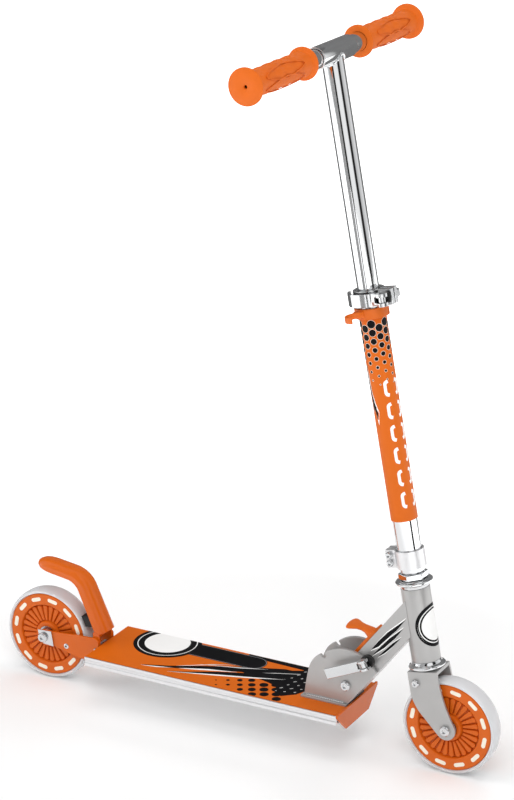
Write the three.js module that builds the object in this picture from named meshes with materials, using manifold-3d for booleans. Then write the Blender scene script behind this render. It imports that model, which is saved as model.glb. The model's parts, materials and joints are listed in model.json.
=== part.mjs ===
// A child's folding kick scooter with two in-line wheels, in millimetres, +X forward, +Y left, +Z up.
// The origin is on the ground, halfway between the two wheels.
import * as THREE from "three";
import { mergeVertices } from "three/addons/utils/BufferGeometryUtils.js";
import Module from "manifold-3d";

const wasm = await Module();
wasm.setup();

// ---- Driving dimensions (millimetres and degrees) ----
const CLEARANCE = 0.3; // between pieces that touch
const RUNNING = 0.6; // between pieces that turn or slide past each other
const WHEELBASE = 560;
const WHEEL_DIAMETER = 120;
const WHEEL_WIDTH = 24;
const TYRE_DEPTH = 5.5; // from the core's flat outer band to the tread
const CORE_RING_WIDTH = 15; // the flat outer band of the core that carries the tyre
const HUB_DIAMETER = 34;
const BEARING_DIAMETER = 22;
const BEARING_WIDTH = 7;
const AXLE_DIAMETER = 8;

const DECK_FRONT_TO_AXLE = 127; // deck's front edge behind the front axle
const DECK_WIDTH = 105;
const DECK_ABOVE_AXLE = 4; // deck's top surface above the axles
const DECK_THICKNESS = 13;
const DECK_WALL = 2.2;
const DECK_CELLS = 3;
const DECK_TO_WHEEL = 21; // deck's rear edge ahead of the rear tyre
const SHEET_THICKNESS = 0.8;
const GUARD_DROP = 27; // how far the front guard hangs below the deck's surface

const BRACKET_GAP = 32; // clear width between the rear side plates, and between the fork legs
const BRACKET_PLATE = 3;
const BRAKE_WIDTH = 30;
const BRAKE_TIP_WIDTH = 27;
const BRAKE_DEPTH = 16;
const BRAKE_WALL = 2.4;
const BRAKE_LEAN = 114; // heading of the lower leg of the brake, from straight ahead
const BRAKE_BEND_RADIUS = 30;
const BRAKE_LEG_DROP = 0.5; // the brake's straight leg is this much shorter than the tyre's radius
const BRAKE_TIP = 49; // straight stretch after the bend
const BRAKE_TIP_LEAN = 172; // its heading, from straight ahead
const BRAKE_TRAVEL = 4; // degrees from rest to the tyre
const BRAKE_PIN_DIAMETER = 6;

const PIVOT_RISE = 26; // fold pivot above the deck's surface
const PIVOT_TO_FRONT = 3; // fold pivot behind the deck's front edge
const PIVOT_BOLT_DIAMETER = 8;
const FOLD_ANGLE = 80;
const FOLD_PLATE = 4;
const FOLD_PLATE_RADIUS = 47;
const NOTCH_DEPTH = 5.7;
const NECK_ANGLE = 52.6; // neck's slope above the deck
const NECK_WIDTH = 32;
const NECK_HEIGHT = 33.6;
const NECK_WALL = 2.5;
const LOCK_PIN_DIAMETER = 5;
const LOCK_TRAVEL = 5.5;

const STEERING_LEAN = 10.6; // steering axis behind the vertical
const FORK_OFFSET = 20; // front axle ahead of the steering axis
const CROWN_OVER_TYRE = 13; // crown's top above the tyre's radius, along the steering axis
const HEAD_TUBE_ROOM = 4.8; // from the steerer's outside to the head tube's outside
const HEAD_TUBE_LENGTH = 91;
const CUP_HEIGHT = 10;
const LOCKNUT_WALL = 2.8; // from the steerer to the nut's flats
const STEERER_WALL = 2;
const STEERER_ABOVE_NUT = 50;
const COLUMN_DIAMETER = 30;
const COLUMN_WALL = 1.9;
const TUBE_FIT = 0.4; // room round the steerer and the upper tube inside the column
const COLUMN_LENGTH = 340;
const COLLAR_HEIGHT = 22;
const WRAP_LENGTH = 244;
const HANDLE_HEIGHT = 807; // handlebar's centre above the foot of the steering axis
const UPPER_TUBE_WALL = 1.5;
const HEIGHT_TRAVEL = 190;
const TEE_DIAMETER = 26;
const TEE_LENGTH = 81;
const BAR_DIAMETER = 22.2;
const BAR_WALL = 1.5;
const HANDLE_WIDTH = 402;
const GRIP_LENGTH = 134;
const GRIP_DIAMETER = 30;
const GRIP_FLANGE_DIAMETER = 42;

// ---- Places worked out from the dimensions ----
const WHEEL_RADIUS = WHEEL_DIAMETER / 2;
const CORE_DIAMETER = WHEEL_DIAMETER - 2 * TYRE_DEPTH;
const DECK_HEIGHT = WHEEL_RADIUS + DECK_ABOVE_AXLE;
const DECK_TO_AXLE = WHEEL_RADIUS + DECK_TO_WHEEL;
const DECK_LENGTH = WHEELBASE - DECK_TO_AXLE - DECK_FRONT_TO_AXLE;
const BRAKE_LEG = WHEEL_RADIUS - BRAKE_LEG_DROP;
const CROWN_HEIGHT = WHEEL_RADIUS + CROWN_OVER_TYRE;
const UPPER_TUBE_DIAMETER = COLUMN_DIAMETER - 2 * (COLUMN_WALL + TUBE_FIT);
const STEERER_DIAMETER = UPPER_TUBE_DIAMETER;
const HEAD_TUBE_DIAMETER = STEERER_DIAMETER + 2 * HEAD_TUBE_ROOM;
const LOCKNUT_FLATS = STEERER_DIAMETER + 2 * LOCKNUT_WALL;
const CORE_RADIUS = CORE_DIAMETER / 2;
const REAR_X = -WHEELBASE / 2;
const FRONT_X = WHEELBASE / 2;
const DECK_REAR = REAR_X + DECK_TO_AXLE;
const DECK_FRONT = DECK_REAR + DECK_LENGTH;
const DECK_METAL_TOP = DECK_HEIGHT - SHEET_THICKNESS - CLEARANCE;
const PIVOT_X = DECK_FRONT - PIVOT_TO_FRONT;
const PIVOT_Z = DECK_HEIGHT + PIVOT_RISE;
const FOLD_BASE_TOP = DECK_METAL_TOP + CLEARANCE + 3;
const FOLD_PLATE_INNER = NECK_WIDTH / 2 + RUNNING * 2;
const FOLD_PLATE_OUTER = FOLD_PLATE_INNER + FOLD_PLATE;
const LOCK_PIN_REACH = FOLD_PLATE_RADIUS + LOCK_PIN_DIAMETER / 2 + CLEARANCE;
const LEAN = THREE.MathUtils.degToRad(STEERING_LEAN);
const BEARING_OUTER_FACE = WHEEL_WIDTH / 2;
const LEG_OUTER = BRACKET_GAP / 2 + BRACKET_PLATE;
const HEAD_TUBE_FOOT = CROWN_HEIGHT + RUNNING + CUP_HEIGHT;
const HEAD_TUBE_TOP = HEAD_TUBE_FOOT + HEAD_TUBE_LENGTH;
const NUT_FOOT = HEAD_TUBE_TOP + CUP_HEIGHT + RUNNING + CLEARANCE;
const NUT_HEIGHT = 7;
const COLUMN_FOOT = NUT_FOOT + NUT_HEIGHT + 2;
const COLUMN_TOP = COLUMN_FOOT + COLUMN_LENGTH;
const STEERER_TOP = NUT_FOOT + NUT_HEIGHT + STEERER_ABOVE_NUT;
const CLAMP_FOOT = COLUMN_FOOT + 5;
const WRAP_FOOT = CLAMP_FOOT + COLLAR_HEIGHT + 37;
const WRAP_TOP = WRAP_FOOT + WRAP_LENGTH;
const CLIP_HEIGHT = 12;
const QR_COLLAR_HEIGHT = 19;
const QR_COLLAR_FOOT = COLUMN_TOP - QR_COLLAR_HEIGHT + 1;
const CLIP_FOOT = QR_COLLAR_FOOT - CLIP_HEIGHT - 1.5;
const UPPER_TUBE_FOOT = STEERER_TOP + HEIGHT_TRAVEL + 6;
const GRIP_OUTER = HANDLE_WIDTH / 2;
const GRIP_INNER = GRIP_OUTER - GRIP_LENGTH;

// ---- Shape helpers ----
const FINE = 40;
const ROUND = 24;
const COARSE = 12;

function toSolid(geometry) {
  const bare = new THREE.BufferGeometry();
  const loose = geometry.index ? geometry.toNonIndexed() : geometry;
  bare.setAttribute("position", loose.getAttribute("position"));
  const merged = mergeVertices(bare, 1e-4);
  const triangles = [];
  for (let i = 0; i < merged.index.count; i += 3) {
    const [a, b, c] = [0, 1, 2].map((k) => merged.index.getX(i + k));
    if (a !== b && b !== c && c !== a) triangles.push([a, b, c]);
  }
  const build = (list) =>
    new wasm.Manifold(
      new wasm.Mesh({
        numProp: 3,
        vertProperties: new Float32Array(merged.attributes.position.array),
        triVerts: new Uint32Array(list.flat()),
      }),
    );
  const made = build(triangles);
  return made.volume() > 0 ? made : build(triangles.map(([a, b, c]) => [a, c, b]));
}

function toGeometry(manifold) {
  const mesh = manifold.getMesh();
  const geometry = new THREE.BufferGeometry();
  geometry.setAttribute("position", new THREE.BufferAttribute(mesh.vertProperties, 3));
  geometry.setIndex(new THREE.BufferAttribute(mesh.triVerts, 1));
  return geometry;
}

const join = (...pieces) => toGeometry(pieces.map(toSolid).reduce((a, b) => a.add(b)));
const cut = (body, ...tools) =>
  toGeometry(tools.map(toSolid).reduce((a, b) => a.subtract(b), toSolid(body)));
const common = (a, b) => toGeometry(toSolid(a).intersect(toSolid(b)));

// A block between two opposite corners.
function block(x0, x1, y0, y1, z0, z1) {
  const made = new THREE.BoxGeometry(x1 - x0, y1 - y0, z1 - z0);
  return made.translate((x0 + x1) / 2, (y0 + y1) / 2, (z0 + z1) / 2);
}

// A solid of revolution about Z from [radius, height] points that close on themselves or on the axis.
function turned(points, sides = ROUND) {
  const profile = points.map(([r, z]) => new THREE.Vector2(r, z));
  return new THREE.LatheGeometry(profile, sides).rotateX(Math.PI / 2);
}

const rod = (radius, z0, z1, sides = radius > 9 ? ROUND : COARSE) =>
  turned([[0, z0], [radius, z0], [radius, z1], [0, z1]], sides);
const pipe = (outer, inner, z0, z1, sides = ROUND) =>
  turned([[inner, z0], [outer, z0], [outer, z1], [inner, z1], [inner, z0]], sides);
const alongY = (geometry) => geometry.rotateX(-Math.PI / 2);
const hexagon = (acrossFlats, z0, z1) => rod(acrossFlats / Math.sqrt(3), z0, z1, 6);

// A flat plate: its outline is drawn in X and Z, and it lies between two Y values.
function plate(outline, y0, y1, curveSegments = 16) {
  const options = { depth: y1 - y0, bevelEnabled: false, curveSegments };
  const made = new THREE.ExtrudeGeometry(outline, options);
  return made.rotateX(Math.PI / 2).translate(0, y1, 0);
}

function polygon(points) {
  return new THREE.Shape(points.map(([x, y]) => new THREE.Vector2(x, y)));
}

// A solid through a row of closed loops with equal point counts, capped at both ends.
function loft(loops) {
  const count = loops[0].length;
  const positions = [];
  const triangle = (...corners) => corners.forEach((p) => positions.push(p.x, p.y, p.z));
  for (let i = 0; i + 1 < loops.length; i++) {
    for (let j = 0; j < count; j++) {
      const k = (j + 1) % count;
      triangle(loops[i][j], loops[i][k], loops[i + 1][k]);
      triangle(loops[i][j], loops[i + 1][k], loops[i + 1][j]);
    }
  }
  const flatten = (loop) => {
    const x = new THREE.Vector3().subVectors(loop[1], loop[0]).normalize();
    const away = new THREE.Vector3();
    for (let j = 0; j < count; j++) {
      away.add(new THREE.Vector3().crossVectors(loop[j], loop[(j + 1) % count]));
    }
    const y = new THREE.Vector3().crossVectors(away.normalize(), x);
    return loop.map((p) => new THREE.Vector2(p.dot(x), p.dot(y)));
  };
  const caps = [[loops[0], 1], [loops[loops.length - 1], -1]];
  for (const [loop, side] of caps) {
    for (const [a, b, c] of THREE.ShapeUtils.triangulateShape(flatten(loop), [])) {
      if (side > 0) triangle(loop[a], loop[c], loop[b]);
      else triangle(loop[a], loop[b], loop[c]);
    }
  }
  const made = new THREE.BufferGeometry();
  return made.setAttribute("position", new THREE.Float32BufferAttribute(positions, 3));
}

// ---- Materials ----
const metal = (color, roughness, metalness = 1) =>
  new THREE.MeshStandardMaterial({ color, roughness, metalness });
const ORANGE_PAINT = metal(0xe2640f, 0.3, 0.1);
const ORANGE_PLASTIC = metal(0xe8711c, 0.45, 0);
const ORANGE_RUBBER = metal(0xe0661a, 0.65, 0);
const CHROME = metal(0xd8dadc, 0.1);
const ALUMINIUM = metal(0xbfc1c4, 0.35);
const SILVER_PAINT = metal(0xb4b5b5, 0.4, 0.6);
const STEEL = metal(0xa9abae, 0.3);
const BLACK_PLASTIC = metal(0x161616, 0.5, 0);
const BLACK_RUBBER = metal(0x101010, 0.85, 0);
const CLEAR_TYRE = metal(0xe8ecee, 0.25, 0);

const scooter = new THREE.Group();
scooter.name = "kick_scooter";

function add(parent, name, geometry, material) {
  const mesh = new THREE.Mesh(toGeometry(toSolid(geometry)), material);
  mesh.name = name;
  parent.add(mesh);
  return mesh;
}

function frameAt(parent, x, y, z, slope = 0) {
  const group = new THREE.Group();
  group.position.set(x, y, z);
  group.rotation.y = -slope;
  parent.add(group);
  return group;
}

const SIDES = [["right", -1], ["left", 1]];

// A bolt along Y: the head stands outside y = head, the shank ends at y = end.
function bolt(shankRadius, head, end, headRadius, headHeight) {
  const sign = Math.sign(head);
  const shank = rod(shankRadius, Math.min(head, end), Math.max(head, end));
  const dome = turned([
    [0, head - sign * 0.01],
    [headRadius, head - sign * 0.01],
    [headRadius, head + sign * headHeight * 0.6],
    [headRadius * 0.8, head + sign * headHeight],
    [0, head + sign * headHeight],
  ]);
  const socket = hexagon(headRadius * 0.9, head + sign * headHeight * 0.4, head + sign * (headHeight + 1));
  return alongY(cut(join(shank, dome), socket));
}

function nut(acrossFlats, bore, z0, z1) {
  return cut(hexagon(acrossFlats, z0, z1), rod(bore, z0 - 1, z1 + 1));
}

// ---- Wheels ----
function tyreGeometry() {
  const half = WHEEL_WIDTH / 2;
  const seat = CORE_RADIUS + CLEARANCE;
  const crown = [];
  const steps = 6;
  const bulge = WHEEL_RADIUS - seat - 1;
  for (let i = 0; i <= steps; i++) {
    const a = (Math.PI * i) / steps;
    crown.push([seat + 1 + bulge * Math.sin(a) ** 0.7, -half * Math.cos(a)]);
  }
  return alongY(turned([[seat, -half + 2], ...crown, [seat, half - 2], [seat, -half + 2]], FINE));
}

function coreGeometry() {
  const rim = WHEEL_WIDTH / 2 - 1;
  const hub = WHEEL_WIDTH / 2;
  const web = rim - 5;
  const seat = BEARING_DIAMETER / 2 + CLEARANCE;
  const step = hub - BEARING_WIDTH - CLEARANCE;
  const ring = CORE_RADIUS - CORE_RING_WIDTH;
  const half = [
    [seat - 2, step],
    [seat, step],
    [seat, hub],
    [HUB_DIAMETER / 2, hub],
    [HUB_DIAMETER / 2 + 1, web],
    [ring, web],
    [ring + 1, rim],
    [CORE_RADIUS, rim],
  ];
  const mirrored = half.map(([r, y]) => [r, -y]).reverse();
  return alongY(turned([...half, ...mirrored, half[0]], FINE));
}

function wheel(end, parent) {
  add(parent, `${end}_tyre`, tyreGeometry(), CLEAR_TYRE);
  add(parent, `${end}_wheel_core`, coreGeometry(), ORANGE_PLASTIC);
  const bore = AXLE_DIAMETER / 2 + CLEARANCE;
  for (const [side, sign] of SIDES) {
    const outer = sign * BEARING_OUTER_FACE;
    const inner = sign * (BEARING_OUTER_FACE - BEARING_WIDTH);
    const ring = pipe(BEARING_DIAMETER / 2, bore, Math.min(inner, outer), Math.max(inner, outer), COARSE);
    add(parent, `${end}_bearing_${side}`, alongY(ring), STEEL);
  }
  const half = BEARING_OUTER_FACE - BEARING_WIDTH - CLEARANCE;
  add(parent, `${end}_bearing_spacer`, alongY(pipe(bore + 1.6, bore, -half, half, COARSE)), STEEL);
}

// ---- Deck ----
function deckGeometry() {
  const half = DECK_WIDTH / 2;
  const top = DECK_METAL_TOP;
  const foot = DECK_HEIGHT - DECK_THICKNESS;
  // a hollow extrusion with a shallow groove along each side and a row of long cells
  const groove = 1.2;
  const low = foot + 4;
  const high = top - 3.5;
  const outline = polygon([
    [-half, foot], [half, foot], [half, low], [half - groove, low + 0.5],
    [half - groove, high - 0.5], [half, high], [half, top], [-half, top],
    [-half, high], [-half + groove, high - 0.5], [-half + groove, low + 0.5], [-half, low],
  ]);
  const made = new THREE.ExtrudeGeometry(outline, { depth: DECK_LENGTH, bevelEnabled: false });
  made.rotateX(Math.PI / 2).rotateZ(Math.PI / 2).translate(DECK_REAR, 0, 0);
  const inside = half - groove - DECK_WALL;
  const pitch = (2 * inside + DECK_WALL) / DECK_CELLS;
  const cells = Array.from({ length: DECK_CELLS }, (_, i) => {
    const left = -inside + i * pitch;
    return block(
      DECK_REAR - 1, DECK_FRONT + 1, left, left + pitch - DECK_WALL,
      foot + DECK_WALL, top - DECK_WALL,
    );
  });
  return cut(made, ...cells);
}

const FOLD_BASE_REAR = PIVOT_X - 59;
const FOLD_BASE_HALF = FOLD_PLATE_OUTER + 4;

function sheetGeometry() {
  const half = DECK_WIDTH / 2 - 1;
  const z0 = DECK_METAL_TOP + CLEARANCE;
  const sheet = block(DECK_REAR + 1, DECK_FRONT - 0.5, -half, half, z0, DECK_HEIGHT);
  const gap = CLEARANCE;
  const base = block(FOLD_BASE_REAR - gap, DECK_FRONT + 1, -FOLD_BASE_HALF - gap, FOLD_BASE_HALF + gap, z0 - 1, z0 + 5);
  return cut(sheet, base);
}

function guardGeometry() {
  const half = DECK_WIDTH / 2 + 2;
  const foot = half - 24;
  const top = DECK_HEIGHT + 1;
  const outline = polygon([
    [-half, top], [-half, top - 4], [-foot, top - GUARD_DROP], [foot, top - GUARD_DROP], [half, top - 4], [half, top],
  ]);
  const made = new THREE.ExtrudeGeometry(outline, { depth: 3, bevelEnabled: false });
  return made.rotateX(Math.PI / 2).rotateZ(Math.PI / 2).translate(DECK_FRONT + CLEARANCE, 0, 0);
}

// ---- Rear side plates, axle and brake ----
const BRAKE_PIN_X = DECK_REAR - 4;
const BRAKE_PIN_Z = WHEEL_RADIUS - 3;

function bracketGeometry(sign) {
  const inner = sign * (BRACKET_GAP / 2);
  const outer = sign * LEG_OUTER;
  const nose = 9;
  const reach = DECK_REAR - CLEARANCE - REAR_X;
  const outline = new THREE.Shape();
  outline.moveTo(12, nose);
  outline.quadraticCurveTo(34, nose + 1, 48, nose + 3);
  outline.lineTo(reach - 4, nose + 4);
  outline.lineTo(reach, nose);
  outline.lineTo(reach, -18);
  outline.lineTo(reach - 28, -19);
  outline.quadraticCurveTo(22, -13, 12, -nose);
  outline.absarc(0, 0, nose, -Math.PI / 2, -Math.PI * 1.5, true);
  const body = plate(outline, Math.min(inner, outer), Math.max(inner, outer), 10);
  const boss = BEARING_OUTER_FACE + CLEARANCE;
  const dimple = alongY(rod(7, Math.min(sign * boss, inner + sign), Math.max(sign * boss, inner + sign)));
  const hole = alongY(rod(AXLE_DIAMETER / 2 + CLEARANCE, -40, 40));
  const pin = alongY(rod(BRAKE_PIN_DIAMETER / 2 + CLEARANCE, -40, 40));
  pin.translate(BRAKE_PIN_X - REAR_X, 0, BRAKE_PIN_Z - WHEEL_RADIUS);
  return cut(join(body, dimple), hole, pin).translate(REAR_X, 0, WHEEL_RADIUS);
}

function axlePlateGeometry(sign) {
  const inner = LEG_OUTER + CLEARANCE;
  const outline = polygon([[-8, 9], [12, 10], [15, -10], [0, -9], [-6, -3]]);
  const y0 = sign > 0 ? inner : -inner - 2;
  const body = plate(outline, y0, y0 + 2);
  return cut(body, alongY(rod(AXLE_DIAMETER / 2 + CLEARANCE, -40, 40))).translate(REAR_X, 0, WHEEL_RADIUS);
}

// A point beside the brake's straight leg: along it from the foot, and out from its centre line.
function besideLeg(along, out) {
  const heading = THREE.MathUtils.degToRad(BRAKE_LEAN);
  const x = DECK_REAR + 1 + along * Math.cos(heading) + out * Math.sin(heading);
  return [x, DECK_HEIGHT + 14.5 + along * Math.sin(heading) - out * Math.cos(heading)];
}

// The brake's centre line runs up a straight leg, round one bend and nearly level to the tip.
function brakeStations() {
  const heading = THREE.MathUtils.degToRad(BRAKE_LEAN);
  const tip = THREE.MathUtils.degToRad(BRAKE_TIP_LEAN);
  const [topX, topZ] = besideLeg(BRAKE_LEG, 0);
  const stations = [[...besideLeg(0, 0), heading], [topX, topZ, heading]];
  const steps = 9;
  for (let i = 1; i <= steps; i++) {
    const turn = heading + ((tip - heading) * i) / steps;
    const x = topX + BRAKE_BEND_RADIUS * (Math.sin(turn) - Math.sin(heading));
    const z = topZ - BRAKE_BEND_RADIUS * (Math.cos(turn) - Math.cos(heading));
    stations.push([x, z, turn]);
  }
  const [x, z] = stations[stations.length - 1];
  stations.push([x + BRAKE_TIP * Math.cos(tip), z + BRAKE_TIP * Math.sin(tip), tip]);
  return stations;
}

function brakeGeometry() {
  const stations = brakeStations();
  const last = stations.length - 1;
  const loops = stations.map(([x, z, turn], i) => {
    const share = i / last;
    const half = THREE.MathUtils.lerp(BRAKE_WIDTH, BRAKE_TIP_WIDTH, Math.min(1, share * 1.6)) / 2;
    const depth = THREE.MathUtils.lerp(BRAKE_DEPTH, BRAKE_DEPTH * 0.85, share);
    const crown = half * 0.6;
    const wall = BRAKE_WALL;
    // the section, from the outside edge of one flange over the top and back along the inside
    const section = [
      [-half, -depth / 2], [-half, depth / 4], [-crown, depth / 2], [crown, depth / 2], [half, depth / 4],
      [half, -depth / 2], [half - wall, -depth / 2], [half - wall, depth / 4 - wall / 2],
      [crown - wall / 2, depth / 2 - wall], [-crown + wall / 2, depth / 2 - wall],
      [-half + wall, depth / 4 - wall / 2], [-half + wall, -depth / 2],
    ];
    // the outward direction is to the right of the heading
    return section.map(([y, out]) => {
      const dx = out * Math.sin(turn);
      const dz = -out * Math.cos(turn);
      return new THREE.Vector3(x + dx, y, z + dz);
    });
  });
  let made = loft(loops);
  const outer = BRACKET_GAP / 2 - RUNNING;
  for (const [, sign] of SIDES) {
    const y0 = sign > 0 ? outer - 2.5 : -outer;
    const r = 6;
    const ear = new THREE.Shape();
    ear.moveTo(BRAKE_PIN_X - r, BRAKE_PIN_Z);
    ear.absarc(BRAKE_PIN_X, BRAKE_PIN_Z, r - 2.3, Math.PI, 0, false);
    ear.lineTo(DECK_REAR - RUNNING, DECK_HEIGHT + 13);
    ear.lineTo(BRAKE_PIN_X - r, DECK_HEIGHT + 18);
    made = join(made, plate(ear, y0, y0 + 2.5, 8));
  }
  const [low, high] = [DECK_HEIGHT + 12, DECK_HEIGHT + 16];
  const bar = block(BRAKE_PIN_X - 4, DECK_REAR - RUNNING, 1 - outer, outer - 1, low, high);
  const hole = alongY(rod(BRAKE_PIN_DIAMETER / 2 + CLEARANCE, -40, 40)).translate(BRAKE_PIN_X, 0, BRAKE_PIN_Z);
  return cut(join(made, bar), hole);
}

// The shoe's face becomes concentric with the tyre when the brake is fully pressed.
function shoeGeometry() {
  const travel = THREE.MathUtils.degToRad(BRAKE_TRAVEL);
  const dx = REAR_X - BRAKE_PIN_X;
  const dz = WHEEL_RADIUS - BRAKE_PIN_Z;
  const centreX = BRAKE_PIN_X + dx * Math.cos(travel) + dz * Math.sin(travel);
  const centreZ = BRAKE_PIN_Z - dx * Math.sin(travel) + dz * Math.cos(travel);
  const face = WHEEL_RADIUS + CLEARANCE;
  const [low, high] = [THREE.MathUtils.degToRad(17), THREE.MathUtils.degToRad(31)];
  const outline = new THREE.Shape();
  outline.absarc(0, 0, face, low, high, false);
  // the shoe's back sits inside the brake's channel
  for (const along of [24, 9]) {
    const [x, z] = besideLeg(along, -BRAKE_DEPTH / 2 + 4);
    outline.lineTo(x - centreX, z - centreZ);
  }
  const side = BRAKE_WIDTH / 2 - BRAKE_WALL - CLEARANCE;
  return plate(outline, -side, side, 6).translate(centreX, 0, centreZ);
}

function springSleeve() {
  const inner = BRAKE_PIN_DIAMETER / 2 + 0.8;
  return alongY(pipe(inner + 1.6, inner, -9, 9, COARSE)).translate(BRAKE_PIN_X, 0, BRAKE_PIN_Z);
}

// ---- Fold block ----
function notch(angle) {
  const depth = FOLD_PLATE_RADIUS - NOTCH_DEPTH;
  const half = LOCK_PIN_DIAMETER / 2 + CLEARANCE;
  const slot = block(depth + half, FOLD_PLATE_RADIUS + 12, -40, 40, -half, half);
  const end = alongY(rod(half, -40, 40)).translate(depth + half, 0, 0);
  return join(slot, end).rotateY(-angle);
}

function foldPlateGeometry(sign) {
  const rise = PIVOT_Z - FOLD_BASE_TOP - CLEARANCE;
  const slope = THREE.MathUtils.degToRad(NECK_ANGLE);
  const half = NECK_HEIGHT / 2;
  const along = (rise - half * Math.cos(slope)) / Math.sin(slope);
  const frontX = half * Math.sin(slope) - along * Math.cos(slope);
  const meet = slope - Math.asin(half / FOLD_PLATE_RADIUS);
  const folded = slope + THREE.MathUtils.degToRad(FOLD_ANGLE);
  const stop = folded + 0.1;
  const stopRadius = FOLD_PLATE_RADIUS + 1.8;
  const outline = new THREE.Shape();
  outline.moveTo(frontX, -rise);
  outline.lineTo(FOLD_PLATE_RADIUS * Math.cos(meet), FOLD_PLATE_RADIUS * Math.sin(meet));
  outline.absarc(0, 0, FOLD_PLATE_RADIUS, meet, folded, false);
  outline.lineTo(stopRadius * Math.cos(stop), stopRadius * Math.sin(stop));
  outline.quadraticCurveTo(-47, 26, -51, 9);
  outline.quadraticCurveTo(-54, -6, -56, -rise);
  const y0 = sign > 0 ? FOLD_PLATE_INNER : -FOLD_PLATE_OUTER;
  const body = plate(outline, y0, y0 + FOLD_PLATE, 30);
  const hole = alongY(rod(PIVOT_BOLT_DIAMETER / 2 + CLEARANCE, -40, 40));
  return cut(body, hole, notch(slope), notch(folded)).translate(PIVOT_X, 0, PIVOT_Z);
}

function foldBaseGeometry() {
  const z0 = DECK_METAL_TOP + CLEARANCE;
  return block(FOLD_BASE_REAR, DECK_FRONT - 1, -FOLD_BASE_HALF, FOLD_BASE_HALF, z0, FOLD_BASE_TOP);
}

// ---- Neck, in a frame at the fold pivot with X along the neck ----
const SLOPE = THREE.MathUtils.degToRad(NECK_ANGLE);

function inNeck(x, z) {
  const dx = x - PIVOT_X;
  const dz = z - PIVOT_Z;
  return [dx * Math.cos(SLOPE) + dz * Math.sin(SLOPE), dz * Math.cos(SLOPE) - dx * Math.sin(SLOPE)];
}

const FOOT_X = FRONT_X - FORK_OFFSET * Math.cos(LEAN);
const FOOT_Z = WHEEL_RADIUS - FORK_OFFSET * Math.sin(LEAN);

function neckGeometry() {
  const half = NECK_HEIGHT / 2;
  const side = NECK_WIDTH / 2;
  const far = 220;
  const outline = new THREE.Shape();
  outline.moveTo(far, half);
  outline.lineTo(0, half);
  outline.absarc(0, 0, half, Math.PI / 2, Math.PI * 1.5, false);
  outline.lineTo(far, -half);
  const body = plate(outline, -side, side, 10);
  const room = block(-half - 5, far + 5, -side + NECK_WALL, side - NECK_WALL, -half + NECK_WALL, half - NECK_WALL);
  // the head tube's cylinder takes off the neck's upper end
  const [footX, footZ] = inNeck(FOOT_X, FOOT_Z);
  const [topX, topZ] = inNeck(FOOT_X - 400 * Math.sin(LEAN), FOOT_Z + 400 * Math.cos(LEAN));
  const tilt = Math.atan2(topX - footX, topZ - footZ);
  const trim = rod(HEAD_TUBE_DIAMETER / 2 + CLEARANCE, -50, 450, ROUND);
  trim.rotateY(tilt).translate(footX, 0, footZ);
  const beyond = block(0, 300, -60, 60, -50, 450).rotateY(tilt).translate(footX, 0, footZ);
  const bolt = alongY(rod(PIVOT_BOLT_DIAMETER / 2 + CLEARANCE, -40, 40));
  const r = LOCK_PIN_DIAMETER / 2 + CLEARANCE;
  const low = LOCK_PIN_REACH - LOCK_TRAVEL;
  const ends = [low, LOCK_PIN_REACH].map((x) => alongY(rod(r, -40, 40)).translate(x, 0, 0));
  const slot = block(low, LOCK_PIN_REACH, -40, 40, -r, r);
  const mouth = block(low - 6, LOCK_PIN_REACH + 6, -5, 5, 0, half + 5);
  return cut(body, room, trim, beyond, bolt, ...ends, slot, mouth);
}

function releaseGeometry() {
  const face = NECK_HEIGHT / 2 + RUNNING;
  const at = LOCK_PIN_REACH;
  const shoe = block(27, 78, -12, 12, face, face + 4);
  const stem = plate(polygon([[48, face + 2], [70, face + 2], [67, face + 10], [64, face + 18], [56, face + 26], [52, face + 12]]), -10, 10);
  const pad = plate(polygon([[72, face + 2], [77, face + 2], [83, face + 7], [60, face + 34], [55, face + 33], [62, face + 24], [70, face + 12]]), -16, 16);
  const tongue = block(at - 5, at + 5, -4, 4, -6, face + 1);
  const eye = alongY(rod(LOCK_PIN_DIAMETER / 2 + CLEARANCE, -30, 30)).translate(at, 0, 0);
  return cut(join(shoe, stem, pad, tongue), eye);
}

// ---- Quick-release clamps: the cam pin is along Z, the skewer along Y, the closed lever points to -X ----
const CAM_RADIUS = 7;
const CAM_GAP = 3.3;
const CAM_PIN_RADIUS = 1.8;

function camSkewer(radius, centreY, endY) {
  const shank = alongY(rod(radius, centreY, endY));
  const eye = rod(4.2, -CAM_GAP + CLEARANCE, CAM_GAP - CLEARANCE).translate(0, centreY, 0);
  const pin = rod(CAM_PIN_RADIUS, -CAM_GAP - 3.2, CAM_GAP + 3.2).translate(0, centreY, 0);
  return join(shank, eye, pin);
}

// The arm is any solid that runs away from the cam; the fork of the cam is cut round the skewer's eye.
function camLever(arm, centreY, halfHeight) {
  const hub = rod(CAM_RADIUS, -halfHeight, halfHeight).translate(0, centreY, 0);
  const gap = rod(CAM_RADIUS + 2, -CAM_GAP, CAM_GAP).translate(0, centreY, 0);
  const pin = rod(CAM_PIN_RADIUS + CLEARANCE, -20, 20).translate(0, centreY, 0);
  return cut(join(hub, arm), gap, pin);
}

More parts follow.
